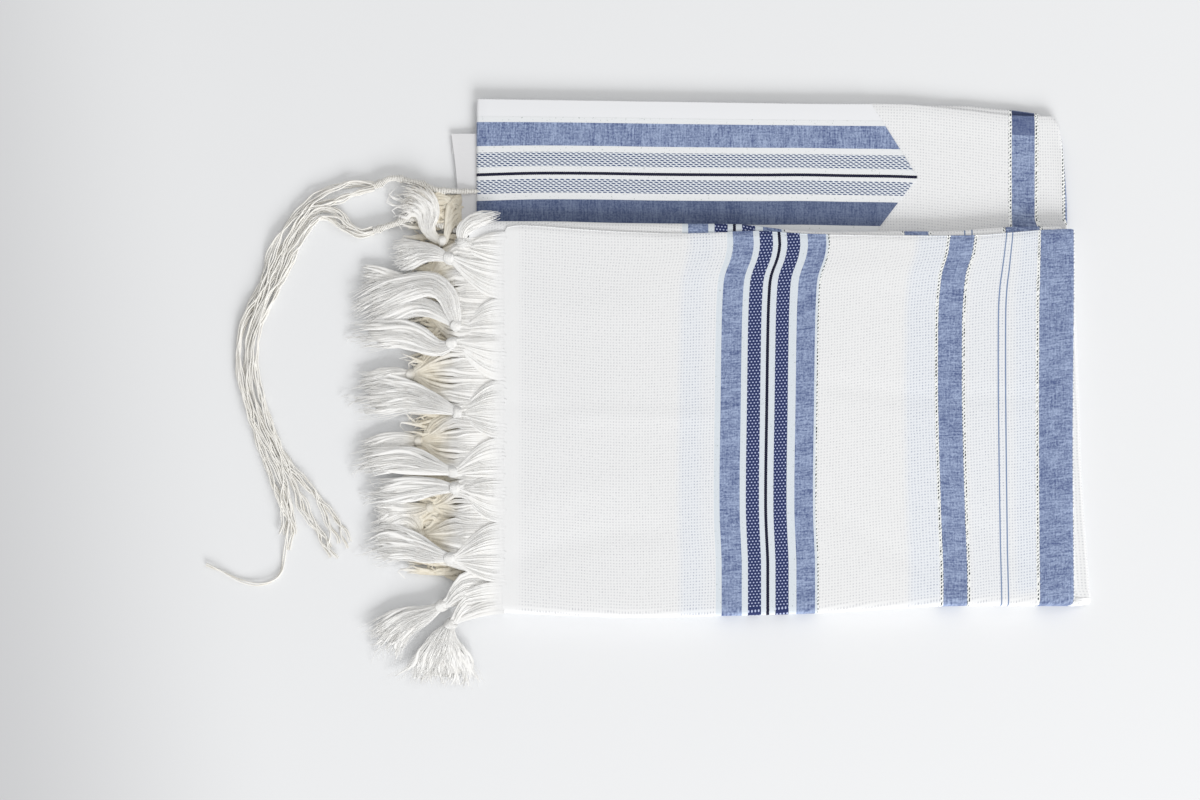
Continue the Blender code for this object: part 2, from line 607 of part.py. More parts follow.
def build_fringe(row, across, knot_half, knot_rise, knot_length, cloth_x, cloth_z, tail_steps):
    """One bunch of warp threads: fan from the cloth, knot, and spread tail."""
    (name, knot_x, knot_y, knot_z, middle_x, middle_y, middle_half,
     tip_x, tip_y, tip_half, fan_low, fan_high) = row
    knot = Vector((knot_x, knot_y, knot_z))
    fan_middle = Vector((cloth_x, (fan_low + fan_high) / 2, knot_z))
    to_tail = Vector((middle_x - knot_x, middle_y - knot_y, 0.0)).normalized()
    from_fan = (knot - fan_middle).normalized()
    along = (to_tail + from_fan).normalized()
    side = Vector((-along.y, along.x, 0.0))
    stations = []
    for place, width, rise in KNOT_PROFILE:
        stations.append((knot + along * (place * knot_length), side,
                         knot_half * width, knot_rise * rise))
    tuft = Tuft(across, 2)
    tuft.pull_head(stations)

    start = knot + along * knot_length
    tail_z = TAIL_END_Z if tip_x < FRINGED_END_X - 1 else knot_z
    middle_z = mix(knot_z, tail_z, 0.72)
    rows = [(*start,), (middle_x, middle_y, middle_z), (tip_x, tip_y, tail_z)]
    spine = curve_points(rows, tail_steps)
    share_of_middle = (Vector(rows[1]) - start).length
    share_of_middle /= share_of_middle + (Vector(rows[2]) - Vector(rows[1])).length
    width_rows = [(0.0, knot_half * 0.8), (share_of_middle, middle_half), (1.0, tip_half)]
    widths = [value_at(width_rows, i / tail_steps) for i in range(tail_steps + 1)]
    for face in tuft.last_cap:
        lane, level = tuft.cell(face)
        column = round((lane + 1.0) * across / 2 - 0.5)
        reach = 1.0 - 4.0 * TAIL_STAGGER[column] * (1.0 if level > 0 else 0.6)
        centres = thread_route(spine, widths, lane, level, knot_rise * 0.74, reach)
        tuft.pull_thread(face, centres, THREAD_ROOT_HALF, THREAD_TIP_HALF)

    first = knot - along * knot_length
    for face in [cap for cap in tuft.first_cap if tuft.cell(cap)[1] > 0]:
        lane = tuft.cell(face)[0]
        root = first + side * (lane * knot_half * 0.72) + Vector((0, 0, knot_rise * 0.35))
        end_y = mix(fan_low, fan_high, 0.5 + 0.5 * lane * side.y / abs(side.y))
        end = Vector((cloth_x - THREAD_CLEAR, end_y, cloth_z))
        tuft.pull_thread(face, [root, root.lerp(end, 0.5), end],
                         THREAD_TIP_HALF + 0.1, THREAD_TIP_HALF, backwards=True)
    return tuft.build("fringe_" + name, "fringe")


def build_tassel(name, head_rows, string_rows, string_steps, long_route=None):
    """One corner tassel: wound head and eight strings laid side by side."""
    tuft = Tuft(4, 2)
    places = [Vector(row[:3]) for row in head_rows]
    last = len(places) - 1
    stations = []
    for i, row in enumerate(head_rows):
        ahead = places[min(i + 1, last)] - places[max(i - 1, 0)]
        side = Vector((-ahead.y, ahead.x, 0.0)).normalized()
        stations.append((places[i], side, row[3], min(row[3], HEAD_HALF_HEIGHT)))
    tuft.pull_head(stations)

    route = curve_points([(x, y, STRING_Z) for x, y, half in string_rows], string_steps)
    lengths = [0.0]
    for start, end in zip(string_rows, string_rows[1:]):
        lengths.append(lengths[-1] + math.dist(start[:2], end[:2]))
    width_rows = [(length / lengths[-1], row[2]) for length, row in zip(lengths, string_rows)]
    widths = [value_at(width_rows, i / string_steps) for i in range(string_steps + 1)]
    outermost = min(tuft.cell(face)[0] for face in tuft.last_cap)
    for face in tuft.last_cap:
        lane, level = tuft.cell(face)
        reach = 1.0 - 1.6 * TAIL_STAGGER[round((lane + 1.0) * 2 - 0.5)] - 0.1 * (level > 0)
        centres = thread_route(route, widths, lane, level, 1.7, reach)
        if long_route and lane < outermost + 0.01 and level < 0:
            centres = centres[:-1] + [Vector((x, y, centres[-1].z)) for x, y in long_route]
        tuft.pull_thread(face, centres[1:], STRING_HALF, STRING_HALF)
    return tuft.build(name, "tzitzit")


def clear_scene():
    """Remove whatever the scene holds."""
    for item in list(bpy.data.objects):
        bpy.data.objects.remove(item, do_unlink=True)


def main():
    """Build every piece of the folded shawl."""
    clear_scene()
    build_inner_folds()
    build_back_panel()
    build_collar_band()
    build_front_flap()
    build_corner_patch()
    for row in UPPER_FRINGE:
        build_fringe(row, across=5, knot_half=4.2, knot_rise=2.7, knot_length=4.2,
                     cloth_x=FRINGED_END_X, cloth_z=UPPER_EDGE_Z, tail_steps=4)
    for row in LOWER_FRINGE:
        on_patch = row[2] > PATCH_LEFT_EDGE[0][0]
        build_fringe(row, across=4, knot_half=3.6, knot_rise=2.3, knot_length=3.6,
                     cloth_x=PATCH_EDGE_X if on_patch else LOWER_EDGE_X,
                     cloth_z=PATCH_EDGE_Z if on_patch else LOWER_EDGE_Z, tail_steps=3)
    build_tassel("tzitzit_outer", OUTER_HEAD, OUTER_STRINGS, 16, LONG_STRING)
    build_tassel("tzitzit_inner", INNER_HEAD, INNER_STRINGS, 16)


main()
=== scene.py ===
"""Looks of a tallit prayer shawl that lies folded flat: cloth, neck band, fringe and tassels.

The shawl's cloth is one sheet, 1.62 m by 0.63 m. It is folded in half at its middle
(the fold at -X), both halves are folded back (the folds at +X), and the lower part of
that stack is turned up over the front (the fold at -Y). Sizes are in millimetres and are
turned into metres where a mesh is made.
"""
import logging
import math
import random
from dataclasses import dataclass
from enum import Enum
from typing import Callable, Sequence

import bpy
import numpy as np
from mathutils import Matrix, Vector


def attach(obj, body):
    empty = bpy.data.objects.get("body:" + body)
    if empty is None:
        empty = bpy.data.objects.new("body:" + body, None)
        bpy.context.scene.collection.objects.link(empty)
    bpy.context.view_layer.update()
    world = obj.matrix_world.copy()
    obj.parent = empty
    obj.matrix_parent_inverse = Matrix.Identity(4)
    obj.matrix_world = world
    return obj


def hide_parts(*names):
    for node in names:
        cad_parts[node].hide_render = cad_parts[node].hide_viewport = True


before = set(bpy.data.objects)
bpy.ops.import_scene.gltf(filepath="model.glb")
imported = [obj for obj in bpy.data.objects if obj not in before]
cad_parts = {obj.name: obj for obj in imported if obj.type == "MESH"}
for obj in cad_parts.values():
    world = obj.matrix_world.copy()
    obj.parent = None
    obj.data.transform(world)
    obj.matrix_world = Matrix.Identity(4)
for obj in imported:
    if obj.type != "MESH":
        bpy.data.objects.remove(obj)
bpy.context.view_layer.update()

MM = 0.001
FULL_TURN = 2 * math.pi
BODY = "root"

Pair = tuple[float, float]
Triple = tuple[float, float, float]
Colour = tuple[float, ...]
Rows = Sequence[tuple[float, ...]]
Socket = bpy.types.NodeSocket

logging.basicConfig(level=logging.INFO, format="%(message)s")
log = logging.getLogger("shawl")


# Small helpers


def value_at(rows: Rows, key: float) -> float:
    """Value of a two-column table at a key, on a smooth curve through its rows.

    Args:
        rows: The table, in rising or falling order of its first column.
        key: Where to read it.

    Returns:
        The value, level beyond both ends of the table.
    """
    if rows[0][0] > rows[-1][0]:
        rows = rows[::-1]
    if key <= rows[0][0]:
        return rows[0][1]
    if key >= rows[-1][0]:
        return rows[-1][1]
    after = next(i for i, row in enumerate(rows) if key < row[0])
    before = after - 1
    span = rows[after][0] - rows[before][0]
    share = (key - rows[before][0]) / span

    def slope(i: int) -> float:
        """Steepness of the curve at a row."""
        low, high = rows[max(i - 1, 0)], rows[min(i + 1, len(rows) - 1)]
        return (high[1] - low[1]) / (high[0] - low[0]) * span

    square, cube = share * share, share ** 3
    return ((2 * cube - 3 * square + 1) * rows[before][1] + (cube - 2 * square + share) * slope(before)
            + (3 * square - 2 * cube) * rows[after][1] + (cube - square) * slope(after))


def smooth_step(low: float, high: float, value: float) -> float:
    """0 at low, 1 at high, and a soft change between."""
    share = min(1.0, max(0.0, (value - low) / (high - low)))
    return share * share * (3.0 - 2.0 * share)


def mix(first: float, second: float, share: float) -> float:
    """Value between two others."""
    return first + (second - first) * share


def path_length(rows: Rows) -> float:
    """Length of the straight runs between a curve's knots."""
    return sum(math.dist(a[:3], b[:3]) for a, b in zip(rows, rows[1:]))


def curve_points(rows: Rows, count: int) -> tuple[list[Vector], list[list[float]]]:
    """Places at even spacing along a smooth curve.

    Args:
        rows: Knots of the curve: x, y, z and any further values that go with them.
        count: Number of steps between the places.

    Returns:
        The places, and the further values at each.
    """
    lengths = [0.0]
    for start, end in zip(rows, rows[1:]):
        lengths.append(lengths[-1] + math.dist(start[:3], end[:3]))
    tables = [list(zip(lengths, column)) for column in zip(*rows)]
    stations = [[value_at(table, lengths[-1] * step / count) for table in tables]
                for step in range(count + 1)]
    return [Vector(values[:3]) for values in stations], [values[3:] for values in stations]


def sideways(points: Sequence[Vector], i: int) -> tuple[Vector, Vector]:
    """Unit directions across a path at one of its points.

    Args:
        points: The path.
        i: Number of the point.

    Returns:
        The level direction, and the upward one.
    """
    ahead = points[min(i + 1, len(points) - 1)] - points[max(i - 1, 0)]
    level = Vector((-ahead.y, ahead.x, 0.0))
    level = level.normalized() if level.length > 1e-9 else Vector((0, 1, 0))
    return level, ahead.normalized().cross(level)


def aside(points: Sequence[Vector], i: int, angle: float, reach: float) -> Vector:
    """Step away from a path's point, at an angle round the path."""
    level, up = sideways(points, i)
    return (level * math.cos(angle) + up * math.sin(angle)) * reach


def make_active(item: bpy.types.Object) -> bpy.types.Object:
    """Select one object alone, and make it the active one.

    Args:
        item: The object.

    Returns:
        The same object.
    """
    bpy.ops.object.select_all(action="DESELECT")
    item.select_set(True)
    bpy.context.view_layer.objects.active = item
    return item


def dress(item: bpy.types.Object, material: bpy.types.Material, slot: str, *nodes: str) -> bpy.types.Object:
    """Give a piece its one material, attach it to the body, hide the solids that it stands for, and log its
    face count.

    Args:
        item: The piece.
        material: Its only material.
        slot: Not used.
        *nodes: Names of the solids that it stands for.

    Returns:
        The piece.
    """
    item.data.materials.clear()
    item.data.materials.append(material)
    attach(item, BODY)
    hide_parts(*nodes)
    log.info("%s: %d faces", item.name, len(item.data.polygons))
    return item


# Materials


class Signal:
    """Output of a node. Arithmetic on it adds further nodes."""

    def __init__(self, bench: "NodeBench", socket: Socket) -> None:
        """Hold an output of one of a bench's nodes."""
        self.bench = bench
        self.socket = socket

    def __add__(self, other: "Value") -> "Signal":
        """Sum."""
        return self.bench.math("ADD", self, other)

    def __radd__(self, other: float) -> "Signal":
        """Sum, with the number first."""
        return self.bench.math("ADD", other, self)

    def __sub__(self, other: "Value") -> "Signal":
        """Difference."""
        return self.bench.math("SUBTRACT", self, other)

    def __rsub__(self, other: float) -> "Signal":
        """Difference, with the number first."""
        return self.bench.math("SUBTRACT", other, self)

    def __mul__(self, other: "Value") -> "Signal":
        """Product."""
        return self.bench.math("MULTIPLY", self, other)

    def __truediv__(self, other: float) -> "Signal":
        """Quotient."""
        return self.bench.math("DIVIDE", self, other)

    def __pow__(self, power: float) -> "Signal":
        """Power."""
        return self.bench.math("POWER", self, power)

    def within(self, start: float, end: float) -> "Signal":
        """1 between two places, and 0 elsewhere."""
        return self.bench.math("COMPARE", self, (start + end) / 2, (end - start) / 2)

    def ramp(self, low: float, high: float, kind: str = "SMOOTHSTEP") -> "Signal":
        """0 at low, 1 at high, and a change between."""
        return self.bench.add("MapRange", interpolation_type=kind, Value=self, From_Min=low, From_Max=high)

    def noise(self, scale: float, detail: float = 2.0, stretch: Triple = (1, 1, 1)) -> "Signal":
        """Noise, with this as its stretched coordinates."""
        place = self.bench.add("Mapping", Vector=self, Scale=stretch)
        return self.bench.add("TexNoise", Vector=place, Scale=scale, Detail=detail, Roughness=0.6)

    def wave(self, pitch: float, shift: "Value" = 0.0) -> "Signal":
        """Sine of this place, from 0 to 1, repeated at a pitch."""
        return self.bench.math("SINE", self * (FULL_TURN / pitch) + shift) * 0.5 + 0.5

    def parts(self) -> list["Signal"]:
        """Its x, y and z."""
        node = self.bench.add("SeparateXYZ", Vector=self).socket.node
        return [Signal(self.bench, output) for output in node.outputs]


Value = Signal | float | Colour


class NodeBench:
    """Workbench for one material's nodes."""

    def __init__(self, name: str) -> None:
        """Start a material with a Principled shader.

        Args:
            name: Name of the material.
        """
        self.material = bpy.data.materials.new(name)
        self.material.use_nodes = True
        self.tree = self.material.node_tree
        self.shader = self.tree.nodes["Principled BSDF"]

    def plug(self, socket: Socket, value: Value) -> None:
        """Fill an input.

        Args:
            socket: The input.
            value: A signal that is joined to it, or its own value.
        """
        if isinstance(value, Signal):
            self.tree.links.new(value.socket, socket)
        else:
            socket.default_value = value

    def add(self, kind: str, output: str | int = 0, **settings: object) -> Signal:
        """Add a node.

        Args:
            kind: Node type, without its ShaderNode prefix.
            output: Which of its outputs to return.
            **settings: Properties of the node, or inputs, each with its name's spaces
                written as underscores.

        Returns:
            The chosen output.
        """
        node = self.tree.nodes.new("ShaderNode" + kind)
        for key, value in settings.items():
            socket = node.inputs.get(key.replace("_", " "))
            if socket is None:
                setattr(node, key, value)
            else:
                self.plug(socket, value)
        return Signal(self, node.outputs[output])

    def math(self, operation: str, *values: Value, kind: str = "Math") -> Signal:
        """Add a math node.

        Args:
            operation: What it works out.
            *values: Its inputs, in order.
            kind: Math, or VectorMath.

        Returns:
            Its result.
        """
        result = self.add(kind, operation=operation)
        for socket, value in zip(result.socket.node.inputs, values):
            self.plug(socket, value)
        return result

    def blend(self, factor: Value, first: Value, second: Value) -> Signal:
        """Add a mix of two colours.

        Args:
            factor: Share of the second.
            first: The first colour.
            second: The second colour.

        Returns:
            The colour between them.
        """
        result = self.add("Mix", 2, data_type="RGBA")
        for number, value in zip((0, 6, 7), (factor, first, second)):
            self.plug(result.socket.node.inputs[number], value)
        return result

    def finish(self, colour: Value, roughness: Value, height: Value | None = None, depth: float = 0.1,
               normal: Signal | None = None, **constants: Value) -> bpy.types.Material:
        """Plug the shader's inputs.

        Args:
            colour: Base colour.
            roughness: Roughness.
            height: Relief, from 0 to 1, or None for a smooth surface.
            depth: The relief's depth, in millimetres.
            normal: Direction that the relief starts from, where it isn't the surface's.
            **constants: Other inputs of the shader, set on their own sockets.

        Returns:
            The finished material.
        """
        inputs = {"Base_Color": colour, "Roughness": roughness, **constants}
        if height is not None:
            start = {} if normal is None else {"Normal": normal}
            inputs["Normal"] = self.add("Bump", Height=height, Strength=1.0, Distance=depth * MM, **start)
        for key, value in inputs.items():
            self.plug(self.shader.inputs[key.replace("_", " ")], value)
        return self.material


@dataclass(frozen=True)
class Spots:
    """Oval spots in rows, each row set half a pitch on from the last.

    Attributes:
        pitch: From spot to spot, and from row to row.
        half: A spot's half length and half width.
        lean: How far a spot slants along its row, for each unit across it.
    """

    pitch: Pair
    half: Pair
    lean: float = 0.0

    def draw(self, along: Signal, across: Signal) -> Signal:
        """Draw the spots.

        Args:
            along: Place along the rows.
            across: Place across the rows.

        Returns:
            1 in the middle of a spot, falling through 0.5 at its edge.
        """
        bench = along.bench
        row = across / self.pitch[1]
        number = bench.math("FLOOR", row)
        across_row = (row - number) * self.pitch[1] - self.pitch[1] / 2
        cell = bench.math("FLOORED_MODULO", number, 2.0) * 0.5 + along / self.pitch[0]
        along_cell = bench.math("FRACT", cell) * self.pitch[0] - self.pitch[0] / 2
        slanted = along_cell - across_row * self.lean
        return ((slanted / self.half[0]) ** 2 + (across_row / self.half[1]) ** 2).ramp(1.5, 0.5)


class Yarn(Enum):
    """Kinds of yarn that the shawl's stripes are woven with."""

    PALE = "pale"
    CHAMBRAY = "chambray"
    # Darker blue of the band's lower stripe: partly its own yarn, partly painted shade.
    CHAMBRAY_DEEP = "deep chambray"
    NAVY = "navy"
    DOTTED = "dotted navy"
    MESH = "white with dark dashes"
    METALLIC = "metallic"
    THIN_BLUE = "thin blue"
    SATIN = "satin"


# Stripes: the yarn, and its stretches of places across the stripes
Stripes = dict[Yarn, Sequence[Pair]]
BODY_STRIPES: Stripes = {
    Yarn.PALE: ((148.6, 152.7), (166.8, 171.1), (180.3, 183.9), (186.0, 190.3), (199.5, 204.9),
                (217.8, 219.4)),
    Yarn.CHAMBRAY: ((152.7, 166.8), (204.9, 217.8), (303.5, 320.2), (374.0, 398.0), (421.8, 437.9)),
    Yarn.DOTTED: ((171.1, 180.3), (190.3, 199.5)),
    Yarn.NAVY: ((183.9, 186.0),),
    Yarn.METALLIC: ((219.4, 220.5), (301.2, 303.5), (320.2, 322.2), (371.6, 374.0), (398.0, 400.4),
                    (419.4, 421.8), (437.9, 440.1)),
    Yarn.THIN_BLUE: ((345.0, 346.0), (350.1, 351.1)),
}
BAND_STRIPES: Stripes = {
    Yarn.SATIN: ((40.2, 60.0), (-60.0, -40.7)),
    Yarn.PALE: ((36.3, 40.2), (15.0, 19.7), (1.1, 4.9), (-4.1, -1.1), (-19.2, -14.2), (-40.7, -36.8)),
    Yarn.CHAMBRAY: ((19.7, 36.3),),
    # The lower blue stripe: partly a darker yarn, partly painted shade.
    Yarn.CHAMBRAY_DEEP: ((-36.8, -19.2),),
    Yarn.MESH: ((4.9, 15.2), (-14.2, -4.1)),
    Yarn.NAVY: ((-1.1, 1.1),),
}


@dataclass(frozen=True)
class Dyes:
    """Colours of the yarns, and of painted shade on some of them, as linear red, green, blue and alpha."""

    white: Colour = (0.85, 0.855, 0.862, 1.0)
    gap: Colour = (0.48, 0.49, 0.525, 1.0)
    pale: Colour = (0.69, 0.745, 0.80, 1.0)
    speck: Colour = (0.40, 0.45, 0.44, 1.0)
    blue_light: Colour = (0.36, 0.44, 0.63, 1.0)
    blue_dark: Colour = (0.085, 0.120, 0.26, 1.0)
    # The band's lower blue stripe: partly a darker yarn, partly painted shade.
    blue_dark_and_shaded: Colour = (0.04, 0.06, 0.13, 1.0)
    # Painted shade on blue at the doubled neck hem; the second, darker still, on its turned-in part, which
    # is also its wrong side.
    blue_hem_shaded: Colour = (0.05, 0.075, 0.19, 1.0)
    blue_hem_inside_shaded: Colour = (0.012, 0.020, 0.070, 1.0)
    thin_blue: Colour = (0.20, 0.27, 0.43, 1.0)
    navy: Colour = (0.004, 0.005, 0.026, 1.0)
    dotted_ground: Colour = (0.018, 0.030, 0.118, 1.0)
    dot: Colour = (0.50, 0.56, 0.78, 1.0)
    mesh_ground: Colour = (0.80, 0.84, 0.88, 1.0)
    dash: Colour = (0.030, 0.060, 0.165, 1.0)
    metal_light: Colour = (0.95, 0.965, 0.955, 1.0)
    metal_dark: Colour = (0.04, 0.055, 0.06, 1.0)
    satin: Colour = (0.84, 0.85, 0.875, 1.0)
    tint: Colour = (0.80, 0.835, 0.885, 1.0)
    tint_gap: Colour = (0.13, 0.18, 0.33, 1.0)


@dataclass(frozen=True)
class WovenFinish:
    """Stripes and weave of a cloth, on its own UV map in metres.

    A stripe's place is measured across the stripes. On the shawl that is the distance
    from the nearer fringed end, and on the neck band the distance from its middle line.
    """

    name: str
    stripes: Stripes
    uv_map: str
    mirrored_length: float = 0.0
    dyes: Dyes = Dyes()
    weave_pitch: float = 2.05
    weave_depth: float = 0.10
    end_border: Pair = (8.0, 17.0)
    dots: Spots = Spots((2.35, 2.05), (0.57, 0.45))
    dashes: Spots = Spots((4.0, 1.32), (1.5, 0.50), -0.7)
    flecks: Spots = Spots((2.5, 1.5), (0.70, 0.56), 0.6)
    tints: Rows = ()
    tint_from_across: float = 0.0
    tint_fade: float = 12.0
    tint_edge: Pair = (4.5, 3.5)
    roughness: float = 0.82

    def mask(self, place: Signal, *yarns: Yarn) -> Value:
        """1 where a stripe of these yarns lies."""
        return sum(place.within(*stretch) for yarn in yarns for stretch in self.stripes.get(yarn, ()))

    def ground(self, u: Signal, v: Signal, across: Signal, open_share: Signal) -> Signal:
        """White open weave, with blue from the layer below most of all in its holes.

        Args:
            u: Place along the cloth.
            v: Place across the cloth.
            across: Place across the stripes.
            open_share: 1 in the weave's holes.

        Returns:
            The colour.
        """
        bench = across.bench
        out, into = self.tint_edge
        veil = sum(across.ramp(start - out, start + into) * across.ramp(end + out, end - into) * strength
                   for start, end, strength in self.tints)
        shown = bench.math("GREATER_THAN", u, self.mirrored_length / 2)
        veil = shown * v.ramp(self.tint_from_across, self.tint_from_across + self.tint_fade) * veil
        return bench.blend(open_share, bench.blend(veil, self.dyes.white, self.dyes.tint),
                           bench.blend(veil, self.dyes.gap, self.dyes.tint_gap))

    def blue(self, at: Signal, across: Signal, v: Signal) -> Signal:
        """Blue with pale and dark threads both ways; painted shade darkens it at the doubled neck hem, and
        the band's lower stripe is darker, partly its yarn and partly painted shade.

        Args:
            at: Place across and along the stripes.
            across: Place across the stripes.
            v: Place across the cloth.

        Returns:
            The colour.
        """
        bench = at.bench
        streaks = at.noise(1.0, 2.0, (0.85, 0.07, 1.0)) * 0.55
        slubs = at.noise(1.0, 2.0, (0.10, 0.85, 1.0))
        cloud = at.noise(1.0, 2.0, (0.02, 0.11, 1.0)) * 0.55
        total = streaks + slubs + at.noise(0.72, 3.0) * 1.2 + cloud
        colour = bench.blend(total.ramp(1.37, 1.92, "LINEAR"), self.dyes.blue_dark, self.dyes.blue_light)
        # The band's lower stripe is darker: partly its own yarn, partly painted shade.
        shades = [(self.mask(across, Yarn.CHAMBRAY_DEEP), 0.60, self.dyes.blue_dark_and_shaded)]
        # Painted shade at the doubled neck hem, darker still on the turned-in part, which is also its wrong
        # side.
        if self.mirrored_length:
            shades += [(bench.math("LESS_THAN", v, HEM_WIDTH), 0.62, self.dyes.blue_hem_shaded),
                       (bench.math("LESS_THAN", v, -0.4), 0.75, self.dyes.blue_hem_inside_shaded)]
        for place, strength, shade in shades:
            colour = bench.blend(bench.math("MULTIPLY", place, strength), colour, shade)
        return colour

    def build(self) -> bpy.types.Material:
        """Make the material."""
        bench = NodeBench(self.name)
        dyes = self.dyes
        u, v = [part * 1000.0 for part in bench.add("UVMap", uv_map=self.uv_map).parts()[:2]]
        if self.mirrored_length:
            across, along = bench.math("MINIMUM", u, self.mirrored_length - u), v
            plain = across.ramp(*self.end_border)
        else:
            across, along = v, u
            plain = across * 0.0
        at = bench.add("CombineXYZ", X=across, Y=along)
        sway = at.noise(0.035)
        columns = across.wave(self.weave_pitch, sway * 5.0)
        rows = along.wave(self.weave_pitch, sway * 4.0)
        open_share = columns ** 1.2 * rows ** 1.2 * at.noise(0.9, 4.0).ramp(0.25, 0.75) * plain

        satin = self.mask(across, Yarn.SATIN)
        dotted = self.mask(across, Yarn.DOTTED)
        dots = self.dots.draw(across, along)
        dashes = self.dashes.draw(along, across)
        specks = at.noise(0.62, 1.0).ramp(0.66, 0.72) * 0.7
        notched = across - 0.08 + along.wave(1.5) * 0.16
        metal = self.mask(across - 0.6 + at.noise(0.55, 1.0) * 1.2, Yarn.METALLIC)
        flecks = self.flecks.draw(along + at.noise(0.5, 1.0) * 3.0, across)
        flecks = flecks * at.noise(0.34, 1.0).ramp(0.36, 0.42)
        colour = self.ground(u, v, across, open_share)
        for place, yarn_colour in (
            (satin, dyes.satin),
            (self.mask(across, Yarn.PALE), bench.blend(specks, dyes.pale, dyes.speck)),
            (self.mask(across, Yarn.CHAMBRAY, Yarn.CHAMBRAY_DEEP), self.blue(at, across, v)),
            (self.mask(across, Yarn.THIN_BLUE), dyes.thin_blue),
            (dotted, bench.blend(dots, dyes.dotted_ground, dyes.dot)),
            (self.mask(across, Yarn.MESH), bench.blend(dashes, dyes.mesh_ground, dyes.dash)),
            (self.mask(notched, Yarn.NAVY), dyes.navy),
            (metal, bench.blend(flecks, dyes.metal_light, dyes.metal_dark)),
        ):
            colour = bench.blend(place, colour, yarn_colour)

        # Relief: threads both ways, and raised stitches on the stripes
        relief = (across.wave(0.7) * along.wave(0.62) * 0.35 + (1.0 - open_share) * 0.5
                  + across.wave(1.3) * 0.2 * (1.0 - plain) + dots * dotted * 0.5)
        relief = relief * bench.math("SUBTRACT", 1.0, satin)
        shine = bench.math("MULTIPLY", metal, 0.2)
        roughness = self.roughness - bench.math("MULTIPLY", satin, 0.35) - shine * 2.0
        return bench.finish(colour, roughness, relief, self.weave_depth, Metallic=shine,
                            Sheen_Weight=0.15, Sheen_Roughness=0.5, Specular_IOR_Level=0.25)


@dataclass(frozen=True)
class SatinFinish:
    """Plain white satin, with fine threads along it."""

    name: str = "white satin"
    colour: Colour = (0.80, 0.80, 0.81, 1.0)
    shade: Colour = (0.74, 0.74, 0.76, 1.0)
    roughness: float = 0.42

    def build(self) -> bpy.types.Material:
        """Make the material."""
        bench = NodeBench(self.name)
        threads = bench.add("TexCoord", "Object").noise(1.0, 3.0, (120.0, 2600.0, 120.0))
        return bench.finish(bench.blend(threads, self.colour, self.shade), self.roughness, threads, 0.05,
                            Sheen_Weight=0.2, Specular_IOR_Level=0.4)


@dataclass(frozen=True)
class ThreadFinish:
    """Spun thread: changes of tone, fine lines along a lock, and painted shade, warmer and darker, low down
    in a heap.
    """

    name: str
    light: Colour
    dark: Colour
    # Painted shade: the two colours, mixed by the same lines and tone, that threads take where they lie
    # low.
    deep: Colour
    painted_shade_dark: Colour = (0.69, 0.62, 0.49, 1.0)
    root: Colour = (0.87, 0.873, 0.878, 1.0)
    painted_shade_below: Pair = (1.5, 6.5)
    painted_shade_from_x: Pair = (-500.0, -499.0)
    root_from_x: Pair = (-202.0, -190.0)
    line_pitch: float = 0.55
    line_length: float = 22.0
    line_depth: float = 0.12
    roughness: float = 0.85
    tone_pitch: float = 4.0
    softness: float = 4.2

    def build(self) -> bpy.types.Material:
        """Make the material."""
        bench = NodeBench(self.name)
        at = bench.add("TexCoord", "Object")
        x, _, z = at.parts()
        lock = bench.add("UVMap", uv_map=LOCK_UV)
        lines = lock.noise(1000.0, 2.0, (1.0 / self.line_pitch, 1.0 / self.line_length, 1.0))
        tone = at.noise(1000.0 / self.tone_pitch, 3.0)
        share = (lines.ramp(0.62, 0.30) * 0.75 + tone.ramp(0.35, 0.8)).ramp(0.0, 1.5, "LINEAR")
        # Painted shade: below a height, and inside a stretch of x, the colour turns to the warmer, darker
        # shade colours.
        low, high = self.painted_shade_below
        left, right = self.painted_shade_from_x
        shade_share = z.ramp(high * MM, low * MM) * x.ramp(left * MM, right * MM)
        colour = bench.blend(shade_share, bench.blend(share, self.light, self.dark),
                             bench.blend(share, self.deep, self.painted_shade_dark))
        left, right = self.root_from_x
        colour = bench.blend(x.ramp(left * MM, right * MM), colour, self.root)
        faced = bench.add("NewGeometry", "Normal")
        lift = bench.add("CombineXYZ", Z=faced.parts()[2].ramp(-0.3, 0.7) * self.softness)
        soft = bench.math("ADD", faced, lift, kind="VectorMath")
        return bench.finish(colour, self.roughness, lines, self.line_depth,
                            bench.math("NORMALIZE", soft, kind="VectorMath"),
                            Sheen_Weight=0.3, Sheen_Roughness=0.4, Specular_IOR_Level=0.2)


@dataclass(frozen=True)
class TableFinish:
    """Plain pale surface that the shawl lies on, with painted shade that darkens it towards -X."""

    name: str = "pale table"
    colour: Colour = (0.83, 0.84, 0.855, 1.0)
    shade: Colour = (0.60, 0.605, 0.62, 1.0)
    shade_span: Pair = (-0.38, -0.64)
    roughness: float = 0.9

    def build(self) -> bpy.types.Material:
        """Make the material."""
        bench = NodeBench(self.name)
        at = bench.add("TexCoord", "Object")
        x, y, _ = at.parts()
        # Painted shade: darker towards -X and a little towards -Y, where the light falls off, with a faint
        # random tone.
        share = (y * 0.15 + x).ramp(*self.shade_span) + at.noise(900.0, 3.0) * 0.03
        return bench.finish(bench.blend(share, self.colour, self.shade), self.roughness,
                            Specular_IOR_Level=0.1)


# The sheet of cloth

CLOTH_THICKNESS = 0.6
CLOTH_LENGTH = 1623.3
HEM_WIDTH = 13.5
BACK_TOP = 6.0
FRONT_TOP = 12.4
LOWER_FOLD_RADIUS = FRONT_TOP / 2
LEFT_FOLD_X = -207.9
FRONT_RIGHT_X = 207.9
OUTER_END_X = -190.5
INNER_END_X = -213.8
INNER_FOLD_INSET = 9.0
TAB_TOP_Y = 155.6
TAB_DROP_X = (-226.0, -204.0)

